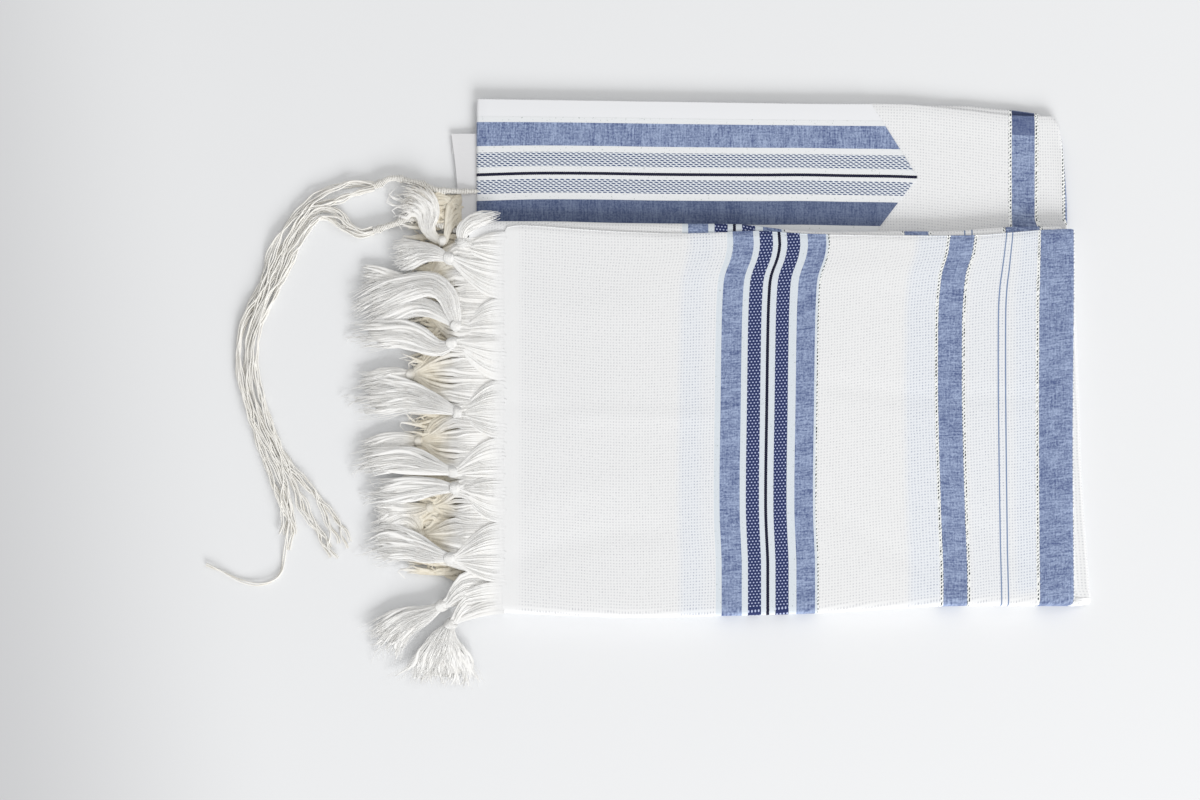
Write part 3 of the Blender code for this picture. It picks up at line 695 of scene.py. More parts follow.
# Outlines: rows of (x, y)
BACK_TOP_EDGE = ((-208, 180), (25, 176.6), (91, 176), (116, 173.8), (141, 171), (165, 168.4),
                 (205, 167.3))
UNDER_TOP_EDGE = ((-208, 179.4), (91, 175.4), (112, 175), (129, 175.5), (150, 173.3), (165, 172.2),
                  (195, 168), (205, 166.6))
FRONT_TOP_EDGE = ((-191, 89), (-178, 91), (-141, 88.5), (-101, 86.1), (-60, 85.1), (-24, 86.8),
                  (20, 84.7), (123, 83.7), (159, 85.8), (186, 87.5), (208, 88.2))
STRIP_TOP_EDGE = ((-191, 93.6), (-150, 93.4), (-114, 92.4), (-60, 91.8), (-24, 91.4), (0, 88.6),
                  (20, 86.2), (90, 86.6), (123, 86.6), (159, 89.4), (186, 90), (208, 89.4))
LOWER_FOLD_EDGE = ((-191, -179.2), (-148, -181.3), (-101, -182.7), (-53, -182), (27, -179.9),
                   (113, -175), (186, -174.7), (222, -175))
# Outlines: rows of (y, x)
STACK_RIGHT_EDGE = ((-176, 221.2), (-87, 214.9), (-31, 212.8), (39, 210), (90, 205.1), (112, 204.4),
                    (136, 202.7), (153, 200.8), (161, 199.2), (166, 196.6), (168, 193.8))
FRONT_LEFT_EDGE = ((-183, -190.5), (70, -190.5), (80, -190), (87, -188), (92, -184))
TAB_LEFT_EDGE = ((84, -214.5), (92, -220.5), (115, -221.9), (137, -224), (155.6, -226.5))
# How far the stripes wander near the front's edges: rows of (y, shift)
FIRST_STRIPES_SHIFT = ((-142.8, 0), (-105.7, -1.4), (-30.8, -0.7), (20.3, 0), (39.2, 0.6), (53.2, 1.6),
                       (60.2, 3.5), (65.8, 5.7), (70.7, 7), (77, 7.9), (86, 7.4))
NEXT_STRIPE_SHIFT = ((-174, 3.5), (-147, 3.4), (-114.8, 2.1), (-35.7, 0), (20, 0), (39.2, 0.7),
                     (58.1, 2.8), (70, 6.6), (84, 8.6))
THIN_LINES_SHIFT = ((-174, 2.2), (-114.8, 1), (-35.7, 0), (30, 0), (48, 1), (60, 2.6), (84, 5.4))


def settle(y: float) -> float:
    """Share of its full height that the stack keeps, thinner beyond the turned-up part."""
    return mix(0.74, 1.0, smooth_step(88.0, 52.0, y))


def half_turn(centre: Pair, radius: float, way: Pair, share: float) -> tuple[float, float, Vector]:
    """Place on a fold's half circle.

    Args:
        centre: x and height of its middle.
        radius: Its radius.
        way: Which way it bulges, 1 or -1 along x, and where it starts, 1 for its top.
        share: How far round.

    Returns:
        x, height, and the direction away from the middle.
    """
    angle = math.pi * share
    outward = Vector((way[0] * math.sin(angle), 0, way[1] * math.cos(angle)))
    return (centre[0] + radius * way[0] * math.sin(angle),
            centre[1] + radius * way[1] * math.cos(angle), outward)


class Zone(Enum):
    """Stretches of the cloth across its width, from the neck edge to the lower one."""

    NECK_HEM = 0
    BACK = 1
    LOWER_FOLD = 2
    FRONT = 3
    LOWER_HEM = 4


class Run(Enum):
    """Stretches along the cloth's length: layers, each second one a turn between two."""

    INNER_LOWER = 0
    INNER_TURN = 1
    INNER_UPPER = 2
    MIDDLE_TURN = 3
    OUTER_UPPER = 4
    OUTER_TURN = 5
    OUTER_LOWER = 6


@dataclass(frozen=True)
class Crease:
    """Soft fold pressed into the front: a line of (x, y), its height and half width."""

    line: Rows
    height: float
    half_width: float

    def lift(self, x: float, y: float) -> float:
        """Height that the crease adds.

        Args:
            x: x of a place.
            y: y of the place.

        Returns:
            The height.
        """
        nearest = math.inf
        for (ax, ay), (bx, by) in zip(self.line, self.line[1:]):
            run_x, run_y = bx - ax, by - ay
            share = ((x - ax) * run_x + (y - ay) * run_y) / (run_x ** 2 + run_y ** 2)
            share = min(1.0, max(0.0, share))
            nearest = min(nearest, math.hypot(x - ax - share * run_x, y - ay - share * run_y))
        ends = min(math.dist((x, y), self.line[0]), math.dist((x, y), self.line[-1]))
        fade = smooth_step(0.0, 3.0 * self.half_width, ends + self.half_width)
        return self.height * fade * math.exp(-(nearest / self.half_width) ** 2)


def make_sheet(name: str, columns: int, rows: int, place: Callable[[int, int], tuple[Vector, Pair]],
               thickness: float, uv_map: str) -> bpy.types.Object:
    """Lay a flat grid through computed places and give it thickness.

    Args:
        name: The piece's name.
        columns: Number of faces one way.
        rows: Number of faces the other way.
        place: Gives the place and the cloth coordinates for a column and a row.
        thickness: Thickness of the cloth, half of it on each side.
        uv_map: Name of the UV map that holds the cloth coordinates, in metres.

    Returns:
        The sheet.
    """
    bpy.ops.mesh.primitive_grid_add(x_subdivisions=columns, y_subdivisions=rows, size=1.0)
    item = bpy.context.object
    mesh = item.data
    item.name = mesh.name = name
    coordinates = []
    for vert in mesh.vertices:
        column = round((vert.co.x + 0.5) * columns)
        point, cloth_place = place(column, round((vert.co.y + 0.5) * rows))
        vert.co = Vector(point) * MM
        coordinates.append((cloth_place[0] * MM, cloth_place[1] * MM))
    layer = mesh.uv_layers[0]
    layer.name = uv_map
    for loop in mesh.loops:
        layer.uv[loop.index].vector = coordinates[loop.vertex_index]
    wall = item.modifiers.new("thickness", "SOLIDIFY")
    wall.thickness = thickness * MM
    wall.offset = 0.0
    bpy.ops.object.modifier_apply(modifier=wall.name)
    bpy.ops.object.shade_smooth_by_angle(angle=math.radians(60))
    return item


@dataclass
class ShawlCloth:
    """The shawl's whole cloth, folded three times."""

    levels: tuple[float, ...] = (2.1, 3.9, 5.7, 0.3)
    small_turn: float = 0.9
    large_turn: float = 2.7
    run_columns: tuple[int, ...] = (24, 6, 24, 8, 62, 10, 80)
    back_rows: int = 56
    fold_rows: int = 12
    front_rows: int = 60
    hem_drop: float = 0.75
    hem_swell: float = 0.35
    fold_squareness: float = 0.48
    rim_share: float = 0.003
    front_apex: float = 400.2
    turning_apex: float = 404.5
    back_apex: float = 403.5
    top_stripe_x: float = 602.2
    back_pull: float = 2.4
    gather_y: Pair = (84.0, 96.0)
    back_span: Pair = (167.5, -169.0)
    tab_span: Pair = (TAB_TOP_Y, -173.0)
    front_span: Pair = (-169.0, 88.0)
    creases: tuple[Crease, ...] = (
        Crease(((-152, -42.5), (-100, -42), (-42, -43.5)), 0.34, 5.0),
        Crease(((-190, -30), (-171, -36), (-150, -42)), -0.30, 6.0),
        Crease(((30, -18), (80, -27), (121, -29.5), (185, -28)), -0.34, 6.0),
        Crease(((31, -99), (83, -141), (113, -155)), -0.36, 6.5),
        Crease(((133, -115), (150, -127), (176, -152)), -0.34, 5.5),
        Crease(((-188, -149), (-162, -134), (-112, -123), (-70, -122)), -0.34, 8.0),
        Crease(((-186, -112), (-150, -95), (-90, -88)), 0.26, 12.0),
        Crease(((-70, 62), (0, 54), (60, 60), (130, 61)), 0.24, 11.0),
        Crease(((-188, 40), (-140, 30), (-80, 36)), 0.24, 14.0),
    )
    finish: WovenFinish = WovenFinish(
        "woven shawl cloth", BODY_STRIPES, "Cloth", mirrored_length=CLOTH_LENGTH,
        tints=((124.5, 138.5, 0.65), (139.5, 148.0, 0.40), (281.5, 304.0, 0.75),
               (324.0, 345.0, 0.45), (346.0, 350.0, 0.6), (352.0, 357.0, 0.4),
               (358.0, 374.5, 0.85)),
        tint_from_across=346.0)

    def __post_init__(self) -> None:
        """Work out the stations along and across the cloth."""
        self.columns = [(run, i / count) for run, count in zip(Run, self.run_columns)
                        for i in range(count)] + [(Run.OUTER_LOWER, 1.0)]
        self.rows = [(Zone.NECK_HEM, share) for share in (0.0, 0.33, 0.66, 0.94, 0.98)]
        self.rows += [(Zone.BACK, 0.0), (Zone.BACK, self.rim_share)]
        for zone, first, count in ((Zone.BACK, 1, self.back_rows), (Zone.LOWER_FOLD, 0, self.fold_rows),
                                   (Zone.FRONT, 0, self.front_rows)):
            self.rows += [(zone, i / count) for i in range(first, count)]
        self.rows += [(Zone.FRONT, 1.0 - self.rim_share), (Zone.FRONT, 1.0)]
        self.rows += [(Zone.LOWER_HEM, share) for share in (0.02, 0.06, 0.34, 0.67, 1.0)]
        turns = [self.fold_section(i / self.fold_rows) for i in range(self.fold_rows + 1)]
        self.fold_shares = [path_length(turns[:i + 1]) / path_length(turns)
                            for i in range(self.fold_rows + 1)]

    def fold_section(self, share: float) -> Pair:
        """Place on the lower fold's section, for a radius of 1.

        Args:
            share: How far round.

        Returns:
            How far out and how high it is from the fold's middle.
        """
        across, rise = math.sin(math.pi * share), math.cos(math.pi * share)
        return (abs(across) ** self.fold_squareness,
                -math.copysign(abs(rise) ** self.fold_squareness, rise))

    def outer_fold(self, zone: Zone, share: float, y: float) -> float:
        """x of the outer fold at +X.

        Args:
            zone: The stretch across the cloth.
            share: How far across that stretch.
            y: About where it lies.

        Returns:
            The place.
        """
        if zone in (Zone.NECK_HEM, Zone.BACK):
            return value_at(STACK_RIGHT_EDGE, y)
        if zone is Zone.LOWER_FOLD:
            return mix(STACK_RIGHT_EDGE[0][1], FRONT_RIGHT_X, smooth_step(0.30, 0.64, share))
        return FRONT_RIGHT_X + 0.4 * math.sin(y / 40.0)

    def section(self, run: Run, share: float, zone: Zone, zone_share: float,
                y: float) -> tuple[float, float, Vector, float]:
        """Place in the stack's cross-section, and along the cloth.

        Args:
            run: The stretch along the cloth.
            share: How far along that stretch.
            zone: The stretch across the cloth.
            zone_share: How far across that stretch.
            y: About where it lies.

        Returns:
            x, height in the stack, the right side's direction there, and the distance
            along the cloth from the inner half's fringed end.
        """
        inner_lower, inner_upper, outer_upper, outer_lower = self.levels
        in_front = zone in (Zone.FRONT, Zone.LOWER_HEM)
        in_back = zone in (Zone.NECK_HEM, Zone.BACK)
        fold = self.outer_fold(zone, zone_share, y)
        inner_turn_x = fold - INNER_FOLD_INSET - self.small_turn
        outer_turn_x = fold - self.large_turn
        left_fold = LEFT_FOLD_X + (0.0 if in_back else 2.0)
        half = CLOTH_LENGTH / 2
        up = Vector((0, 0, 1))

        # Distance from the outer half's fringed end to the outer fold, and what is drawn up there
        gathered = smooth_step(*self.gather_y, y)
        turn_half = math.pi * self.large_turn / 2
        apex = self.front_apex
        pull = 0.0
        if zone is Zone.LOWER_FOLD:
            apex = mix(self.turning_apex, apex, smooth_step(0.62, 0.9, zone_share))
        elif in_back:
            apex = mix(self.back_apex, self.top_stripe_x - fold, gathered)
            pull = self.back_pull * gathered

        if run is Run.INNER_LOWER:
            on_tab = in_back and y > TAB_LEFT_EDGE[0][0]
            x = mix(value_at(TAB_LEFT_EDGE, y) if on_tab else INNER_END_X, inner_turn_x, share)
            if in_back:
                inner_lower *= mix(0.9, 1.0, smooth_step(TAB_DROP_X[0], LEFT_FOLD_X, x))
                inner_lower -= 0.9 * (1.0 - smooth_step(*TAB_DROP_X, x))
            return x, inner_lower, up, x - INNER_END_X
        if run is Run.INNER_TURN:
            middle = (inner_turn_x, (inner_lower + inner_upper) / 2)
            x, height, outward = half_turn(middle, self.small_turn, (1, -1), share)
            return x, height, -outward, fold - INNER_FOLD_INSET - INNER_END_X + share * 2.8
        if run is Run.INNER_UPPER:
            x = mix(inner_turn_x, left_fold + self.small_turn, share)
            inner_apex = (half - INNER_END_X + LEFT_FOLD_X) / 2
            return x, inner_upper, -up, max(inner_apex, half - (x - LEFT_FOLD_X))
        if run is Run.MIDDLE_TURN:
            middle = (left_fold + self.small_turn, (inner_upper + outer_upper) / 2)
            return *half_turn(middle, self.small_turn, (-1, -1), share), half + (share - 0.5) * 2.0
        if run is Run.OUTER_TURN:
            middle = (outer_turn_x, (outer_upper + outer_lower) / 2)
            return (*half_turn(middle, self.large_turn, (1, 1), share),
                    CLOTH_LENGTH - apex + turn_half * (2.0 * share - 1.0) + pull)
        if run is Run.OUTER_UPPER:
            x = mix(left_fold + self.small_turn, outer_turn_x, share)
            height, outward, start, way = outer_upper, up, LEFT_FOLD_X, 1.0
            drift = half - (apex + turn_half) - (outer_turn_x - start)
        else:
            x = mix(outer_turn_x, value_at(FRONT_LEFT_EDGE, y) if in_front else OUTER_END_X, share)
            height, outward, start, way = outer_lower, -up, OUTER_END_X, -1.0
            drift = apex - turn_half - (outer_turn_x - start)
        pulled = pull * smooth_step(fold - 14.0, outer_turn_x, x)
        along = x - start + drift * smooth_step(fold - 45.0, outer_turn_x, x)
        return x, height, outward, (half if way > 0 else CLOTH_LENGTH) + way * along + pulled

    def between_layers(self, layer: float, values: Sequence[float]) -> float:
        """Value for a layer, between those of its neighbours in a turn."""
        low = min(2, int(layer))
        return mix(values[low], values[low + 1], layer - low)

    def neck_edge(self, layer: float, x: float) -> float:
        """y of a layer's neck edge.

        Args:
            layer: Number of the layer.
            x: Where on it.

        Returns:
            The place.
        """
        under = value_at(UNDER_TOP_EDGE, x)
        tab = mix(TAB_TOP_Y, under - 1.2, smooth_step(-204.0, -150.0, x))
        return self.between_layers(layer, (tab, under, value_at(BACK_TOP_EDGE, x), under - 0.8))

    def front_edge(self, layer: float, x: float) -> float:
        """y of a layer's lower edge, where it ends on the front.

        Args:
            layer: Number of the layer.
            x: Where on it.

        Returns:
            The place.
        """
        strip = value_at(STRIP_TOP_EDGE, x)
        front = value_at(FRONT_TOP_EDGE, x)
        return self.between_layers(layer, (strip, strip - 1.0, front - 2.5, front))

    def wander(self, x: float, y: float) -> float:
        """How far the front's stripes are pushed along by its gentle bunching.

        Args:
            x: x of a place on the front.
            y: y of the place.

        Returns:
            The shift towards +X.
        """
        first = value_at(FIRST_STRIPES_SHIFT, y)
        after = value_at(NEXT_STRIPE_SHIFT, y)
        thin = value_at(THIN_LINES_SHIFT, y)
        return value_at(((-185, 0.0), (-110, first * 0.35), (-45, first), (30, first),
                         (75, mix(first, after, 0.5)), (108, after), (134, after), (157, thin),
                         (176, thin * 0.45), (190, 0.0), (208, 0.0)), x)

    def relief(self, x: float, y: float) -> float:
        """Height of the creases and the gentle unevenness of the front."""
        level = 0.10 * math.sin(x / 46.0 + y / 31.0) + 0.08 * math.sin(x / 23.0 - y / 37.0)
        return level + sum(crease.lift(x, y) for crease in self.creases)

    def place(self, column: int, row: int) -> tuple[Vector, Pair]:
        """Place of a corner of the grid.

        Args:
            column: Its number along the cloth.
            row: Its number across the cloth.

        Returns:
            The place, and the place on the flat cloth.
        """
        run, share = self.columns[column]
        zone, zone_share = self.rows[row]
        layer = run.value // 2 + share * (run.value % 2)
        top, low = self.tab_span if run is Run.INNER_LOWER else self.back_span
        nominal = {Zone.NECK_HEM: top, Zone.BACK: mix(top, low, zone_share), Zone.LOWER_FOLD: low,
                   Zone.FRONT: mix(*self.front_span, zone_share),
                   Zone.LOWER_HEM: self.front_span[1]}[zone]
        x, height, outward, u = self.section(run, share, zone, zone_share, nominal)
        neck = self.neck_edge(layer, x)
        axis = value_at(LOWER_FOLD_EDGE, x) + LOWER_FOLD_RADIUS
        edge = self.front_edge(layer, x)
        across_fold = math.pi * (LOWER_FOLD_RADIUS - 3.0)
        on_top = smooth_step(2.0, 3.0, layer)
        if zone is Zone.NECK_HEM:
            inward = HEM_WIDTH * (1.0 - zone_share)
            point = Vector((x, neck - inward, height))
            point -= outward * (self.hem_drop * smooth_step(1.0, 0.9, zone_share))
            point.z *= settle(point.y)
            return point, (u, -inward)
        if zone is Zone.BACK:
            y = mix(neck, axis, zone_share)
            if layer == 2.0:
                height -= self.hem_swell * (1.0 - smooth_step(HEM_WIDTH + 4.0, HEM_WIDTH - 1.0, neck - y))
            return Vector((x, y, height * settle(y))), (u, neck - y)
        if zone is Zone.LOWER_FOLD:
            x += self.wander(x, self.front_span[0]) * on_top * smooth_step(0.0, 0.9, zone_share)
            reach = LOWER_FOLD_RADIUS - height
            out, rise = self.fold_section(zone_share)
            done = self.fold_shares[round(zone_share * self.fold_rows)]
            return (Vector((x, axis - reach * out, LOWER_FOLD_RADIUS + reach * rise)),
                    (u, neck - axis + across_fold * done))
        y = mix(axis, edge, zone_share if zone is Zone.FRONT else 1.0)
        z = FRONT_TOP - height
        v = neck - axis + across_fold + (y - axis)
        if layer > 2.0:
            flatness = smooth_step(0.0, 0.15, zone_share) * on_top
            flatness *= smooth_step(0.0, 30.0, self.outer_fold(zone, zone_share, nominal) - x)
            z += (self.relief(x, y) - 0.25) * flatness
            x += self.wander(x, y) * on_top
        if zone is Zone.LOWER_HEM:
            inward = HEM_WIDTH * zone_share
            away = Vector((outward.x, 0.0, -outward.z))
            drop = self.hem_drop * smooth_step(0.0, 0.1, zone_share)
            return Vector((x, y - inward, z)) - away * drop, (u, v + inward)
        return Vector((x, y, z)), (u, v)

    def build(self) -> bpy.types.Object:
        """Fold the cloth."""
        item = make_sheet("shawl_cloth", len(self.columns) - 1, len(self.rows) - 1, self.place,
                          CLOTH_THICKNESS, self.finish.uv_map)
        return dress(item, self.finish.build(), "cloth", "front_flap", "back_panel", "inner_folds")


# Neck band and corner patch


@dataclass
class NeckBand:
    """Woven band along the neck edge, pointed at both ends, round the middle fold."""

    thickness: float = 0.5
    lift: float = 0.85
    edge_lift: float = 0.62
    half_width: float = 52.0
    fold_radius: float = 0.9
    fold_middle_z: float = 4.8
    columns: tuple[int, int, int] = (48, 8, 18)
    rows: int = 30
    middle_line: Rows = ((-207, 126.8), (-168.7, 127.9), (-124.6, 127.8), (-80.5, 127.1), (-10.5, 126.7),
                         (19.6, 126.8), (50.4, 126.2), (80.5, 125.8), (99.1, 125.2))
    point_edge: Rows = ((-60.0, 57.5), (-39.0, 72.1), (0.0, 99.8), (52.0, 67.5))
    finish: WovenFinish = WovenFinish("woven neck band", BAND_STRIPES, "Band", roughness=0.7,
                                      weave_depth=0.08, dyes=Dyes(pale=(0.81, 0.8275, 0.8465, 1.0)))

    def line_y(self, x: float, across: float) -> float:
        """y of a line that runs along the band.

        Args:
            x: Where on it.
            across: The line's distance from the band's middle.

        Returns:
            The place.
        """
        middle = value_at(self.middle_line, x)
        if across >= 0:
            return mix(middle, value_at(BACK_TOP_EDGE, x) - 0.2, across / self.half_width)
        return middle + across * 0.95

    def place(self, column: int, row: int) -> tuple[Vector, Pair]:
        """Place of a corner of the grid.

        Args:
            column: Its number along the band.
            row: Its number across the band.

        Returns:
            The place, and the place on the flat band.
        """
        upper, turn, lower = self.columns
        across = mix(-self.half_width, self.half_width, row / self.rows)
        point_x = np.interp(across, *zip(*self.point_edge))
        crown = smooth_step(self.half_width, self.half_width - 6.0, abs(across))
        lift = mix(self.edge_lift, self.lift, crown)
        radius = self.fold_radius + lift
        start = LEFT_FOLD_X + self.fold_radius
        if column <= upper:
            x = mix(point_x, start, column / upper)
            near_point = smooth_step(0.0, 8.0, point_x - x)
            height = BACK_TOP - 0.3 + mix(self.edge_lift, lift, near_point)
            along = x - start
        elif column < upper + turn:
            share = (column - upper) / turn
            x, height, _ = half_turn((start, self.fold_middle_z), radius, (-1, 1), share)
            along = -math.pi * radius * share
        else:
            x = mix(start, point_x, (column - upper - turn) / lower)
            height = self.fold_middle_z - radius
            along = -math.pi * radius - (x - start)
        y = self.line_y(x, across)
        return Vector((x, y, height * settle(y))), (along, across)

    def build(self) -> bpy.types.Object:
        """Sew the band on."""
        item = make_sheet("neck_band", sum(self.columns), self.rows, self.place, self.thickness,
                          self.finish.uv_map)
        return dress(item, self.finish.build(), "band", "collar_band")


@dataclass
class CornerPatch:
    """Satin patch that strengthens the corner which sticks out at the fold."""

    thickness: float = 0.5
    columns: int = 26
    rows: int = 18
    right_x: float = -146.0
    low_y: float = 90.6
    top_z: float = 2.72
    finish: SatinFinish = SatinFinish()

    def place(self, column: int, row: int) -> tuple[Vector, Pair]:
        """Place of a corner of the grid.

        Args:
            column: Its number along the patch.
            row: Its number across the patch.

        Returns:
            The place, and the place on the flat patch.
        """
        y = mix(self.low_y, TAB_TOP_Y + 0.3, row / self.rows)
        x = mix(value_at(TAB_LEFT_EDGE, y) - 0.3, self.right_x, (column / self.columns) ** 1.3)
        sunk = 1.0 - smooth_step(*TAB_DROP_X, x)
        return Vector((x, y, self.top_z + (0.12 * math.sin(y / 9.0) - 0.95) * sunk)), (x, y)

    def build(self) -> bpy.types.Object:
        """Lay the patch."""
        item = make_sheet("corner_satin", self.columns, self.rows, self.place, self.thickness, "Patch")
        return dress(item, self.finish.build(), "satin", "corner_patch")


# Fringe

LOCK_UV = "Lock"


def add_object(name: str, data: bpy.types.ID) -> bpy.types.Object:
    """Add an object and make it the active one.

    Args:
        name: Its name.
        data: Its mesh, curve or camera.

    Returns:
        The object.
    """
    item = bpy.data.objects.new(name, data)
    bpy.context.scene.collection.objects.link(item)
    return make_active(item)


class StrandBundle:
    """Collects round strands and turns them into one mesh."""

    def __init__(self, name: str) -> None:
        """Start an empty bundle.

        Args:
            name: Name of the mesh that it becomes.
        """
        self.curve = bpy.data.curves.new(name, "CURVE")
        self.curve.dimensions = "3D"
        self.curve.bevel_depth = 1.0 * MM
        self.curve.bevel_resolution = 0
        self.curve.use_fill_caps = True

    def strand(self, points: Sequence[Vector], radius: float, taper: float = 0.0) -> None:
        """Add a strand.

        Args:
            points: What it runs through.
            radius: Its radius at its start.
            taper: Share of the radius that it loses by its end.
        """
        spline = self.curve.splines.new("POLY")
        spline.points.add(len(points) - 1)
        for i, (target, point) in enumerate(zip(spline.points, points)):
            target.co = (point.x * MM, point.y * MM, point.z * MM, 1.0)
            target.radius = radius * (1.0 - taper * i / (len(points) - 1))

    def build(self) -> bpy.types.Object:
        """Turn the strands into a mesh."""
        add_object(self.curve.name, self.curve)
        bpy.ops.object.convert(target="MESH")
        bpy.ops.object.shade_smooth()
        return bpy.context.object


class LockBundle:
    """Collects flat locks of combed thread and turns them into one mesh.

    Its UV map goes across and along each lock, in metres.
    """

    sides = 10

    def __init__(self, name: str) -> None:
        """Start an empty bundle.

        Args:
            name: Name of the mesh that it becomes.
        """
        self.name = name
        self.corners: list[Vector] = []
        self.faces: list[list[int]] = []
        self.places: list[Pair] = []

    def lock(self, points: Sequence[Vector], halves: Sequence[float], heights: Sequence[float],
             lane: float = 0.0) -> None:
        """Add a lock, oval in section.

        Args:
            points: Its middle line.
            halves: Half its width at each point.
            heights: Half its height at each point.
            lane: Where its pattern starts across it.
        """
        first = len(self.corners)
        sides = self.sides
        length = 0.0
        for i, point in enumerate(points):
            if i:
                length += (point - points[i - 1]).length
            level, up = sideways(points, i)
            for side in range(sides):
                angle = FULL_TURN * side / sides
                across = halves[i] * math.cos(angle)
                self.corners.append((point + level * across + up * (heights[i] * math.sin(angle))) * MM)
                self.places.append(((lane + across) * MM, length * MM))
            ring = first + (i - 1) * sides
            for side in range(sides if i else 0):
                after = (side + 1) % sides
                self.faces.append([ring + side, ring + after, ring + sides + after, ring + sides + side])
        self.faces.append(list(range(first + sides - 1, first - 1, -1)))
        self.faces.append(list(range(len(self.corners) - sides, len(self.corners))))

    def build(self, strands: StrandBundle) -> bpy.types.Object:
        """Turn the locks into a mesh.

        Args:
            strands: Loose strands that are joined to them.

        Returns:
            The mesh's object.
        """
        mesh = bpy.data.meshes.new(self.name)
        mesh.from_pydata(self.corners, [], self.faces)
        layer = mesh.uv_layers.new(name=LOCK_UV)
        for loop in mesh.loops:
            layer.uv[loop.index].vector = self.places[loop.vertex_index]
        item = add_object(self.name, mesh)
        bpy.ops.object.mode_set(mode="EDIT")
        bpy.ops.mesh.select_all(action="SELECT")
        bpy.ops.mesh.normals_make_consistent(inside=False)
        bpy.ops.object.mode_set(mode="OBJECT")
        bpy.ops.object.shade_smooth()
        loose = strands.build()
        make_active(item)
        loose.select_set(True)
        bpy.ops.object.join()
        return item


@dataclass(frozen=True)
class Bunch:
    """One knotted bunch of warp threads.

    Attributes:
        name: Name of the solid that it stands for.
        knot: x, y and z of its knot.
        tail: Rows of x, y, z and half width, from the knot to the tip.
        fan: Stretch of y on the cloth's edge that its threads leave.
        under: Stretch of y on the edge of the layer below that its other threads leave.
        branch: A second tail's rows, where the tail parts in two.
    """

    name: str
    knot: Triple
    tail: Rows
    fan: Pair
    under: Pair | None = None
    branch: Rows = ()


UPPER_BUNCHES = (
    Bunch("fringe_corner", (-218.8, 79.6, 9.4), ((-217.6, 87, 10.6, 4.6), (-212, 92.6, 11.2, 5.4),
          (-203.5, 95.8, 11, 4.8), (-192.5, 98.6, 10.4, 3)), (65, 86)),
    Bunch("fringe_01", (-227.5, 68, 8.6), ((-239.5, 71.5, 8.4, 6), (-253, 71, 6.4, 10),
          (-268, 67, 3.6, 13.5)), (40, 65)),
    Bunch("fringe_02", (-221.9, 20.8, 8.6), ((-225, 31, 9.8, 5.6), (-229.5, 43, 9.8, 7),
          (-240, 50, 8.8, 8.6), (-255, 48, 6.6, 9.5), (-274, 41.5, 4.2, 12), (-295, 31.5, 2.6, 13.5)),
          (13, 40), branch=((-230.5, 27, 7.8, 4.4), (-240, 32.5, 7, 6), (-254, 34.5, 5.4, 8),
          (-272, 28.5, 3.6, 10.5), (-290, 21, 2.4, 11))),
    Bunch("fringe_03", (-225.4, 8.8, 8.6), ((-232.5, 5.6, 8.8, 5.6), (-241, 8, 8.4, 7.4),
          (-250, 12.5, 7.2, 8.8), (-263, 16, 5.4, 10), (-279, 15.5, 3.8, 10.8),
          (-294.5, 13.5, 2.4, 10.5)), (-17, 13)),
    Bunch("fringe_04", (-222.6, -39.2, 8.6), ((-238, -33.5, 8.2, 7), (-255.5, -29, 6.2, 11.5),
          (-275, -29, 4, 14.8), (-294.5, -30.5, 2.4, 14)), (-57, -17)),
    Bunch("fringe_05", (-226.1, -80.8, 8.6), ((-240, -77, 8.2, 6.2), (-257, -73, 6.2, 9.6),
          (-276, -73.5, 4, 10.8), (-294.5, -77.5, 2.4, 10)), (-84, -57)),
    Bunch("fringe_06", (-223.3, -92.4, 8.6), ((-238, -91.5, 7.8, 6), (-255, -93, 5.8, 8.8),
          (-271, -95.5, 3.8, 9.8), (-285.5, -97.5, 2.4, 9.6)), (-116, -84)),
    Bunch("fringe_07", (-226.8, -141.4, 8.6), ((-240, -138, 7.8, 6.6), (-256, -133, 5.8, 10.6),
          (-272, -131.5, 3.8, 13.6), (-285.5, -135, 2.4, 13)), (-157.5, -116)),
    Bunch("fringe_08", (-233.1, -174.6, 4.6), ((-244, -180.5, 4.2, 6), (-257, -186, 3.6, 10),
          (-269, -194.5, 2.8, 14), (-277, -204.5, 2.2, 17.5)), (-169.5, -157.5), (-168, -150)),
    Bunch("fringe_09", (-227, -187.6, 4.6), ((-230.5, -196.5, 4.4, 9.5), (-232, -208, 3.8, 17.5),
          (-233, -220, 2.8, 24.5), (-234, -231, 2, 27)), (-179, -169.5), (-176, -167)),
)
LOWER_BUNCHES = (
    Bunch("fringe_10", (-233.6, 80.4, 5.6), ((-240, 84.2, 6, 3.6), (-242.8, 90.5, 6.4, 5.6),
          (-242.6, 98, 6.8, 8.6), (-245.5, 105.2, 6.8, 11), (-252, 110.2, 6.2, 12.5),
          (-262, 113, 5.2, 12)), (91, 113)),
    Bunch("fringe_11", (-248.5, 42.4, 3.3), ((-260, 49, 3.4, 7), (-275, 51, 2.8, 10),
          (-289, 49, 2, 12)), (14, 66), (12, 82)),
    Bunch("fringe_12", (-254.5, -12.8, 3.3), ((-265, -13.5, 3.4, 5.6), (-278, -17, 2.8, 7.6),
          (-290.5, -21, 2, 8.6)), (-34, 12), (-36, 12)),
    Bunch("fringe_13", (-249.2, -59.3, 3.3), ((-261, -59, 3.4, 5.4), (-275, -62.5, 2.8, 6.8),
          (-289.5, -67, 2, 7.6)), (-82, -38), (-83, -36)),
    Bunch("fringe_14", (-240.8, -105.9, 3.3), ((-252, -109, 3.4, 5.8), (-267, -108.5, 2.8, 7.2),
          (-281.5, -106.5, 2, 7.4)), (-114, -84), (-115, -83)),
    Bunch("fringe_15", (-248.5, -124.4, 3.3), ((-252.5, -116.5, 3.6, 5.6), (-259.5, -113.5, 3.2, 7),
          (-270, -117.5, 2.6, 8), (-281, -123, 2, 8)), (-156, -116), (-150, -115)),
)


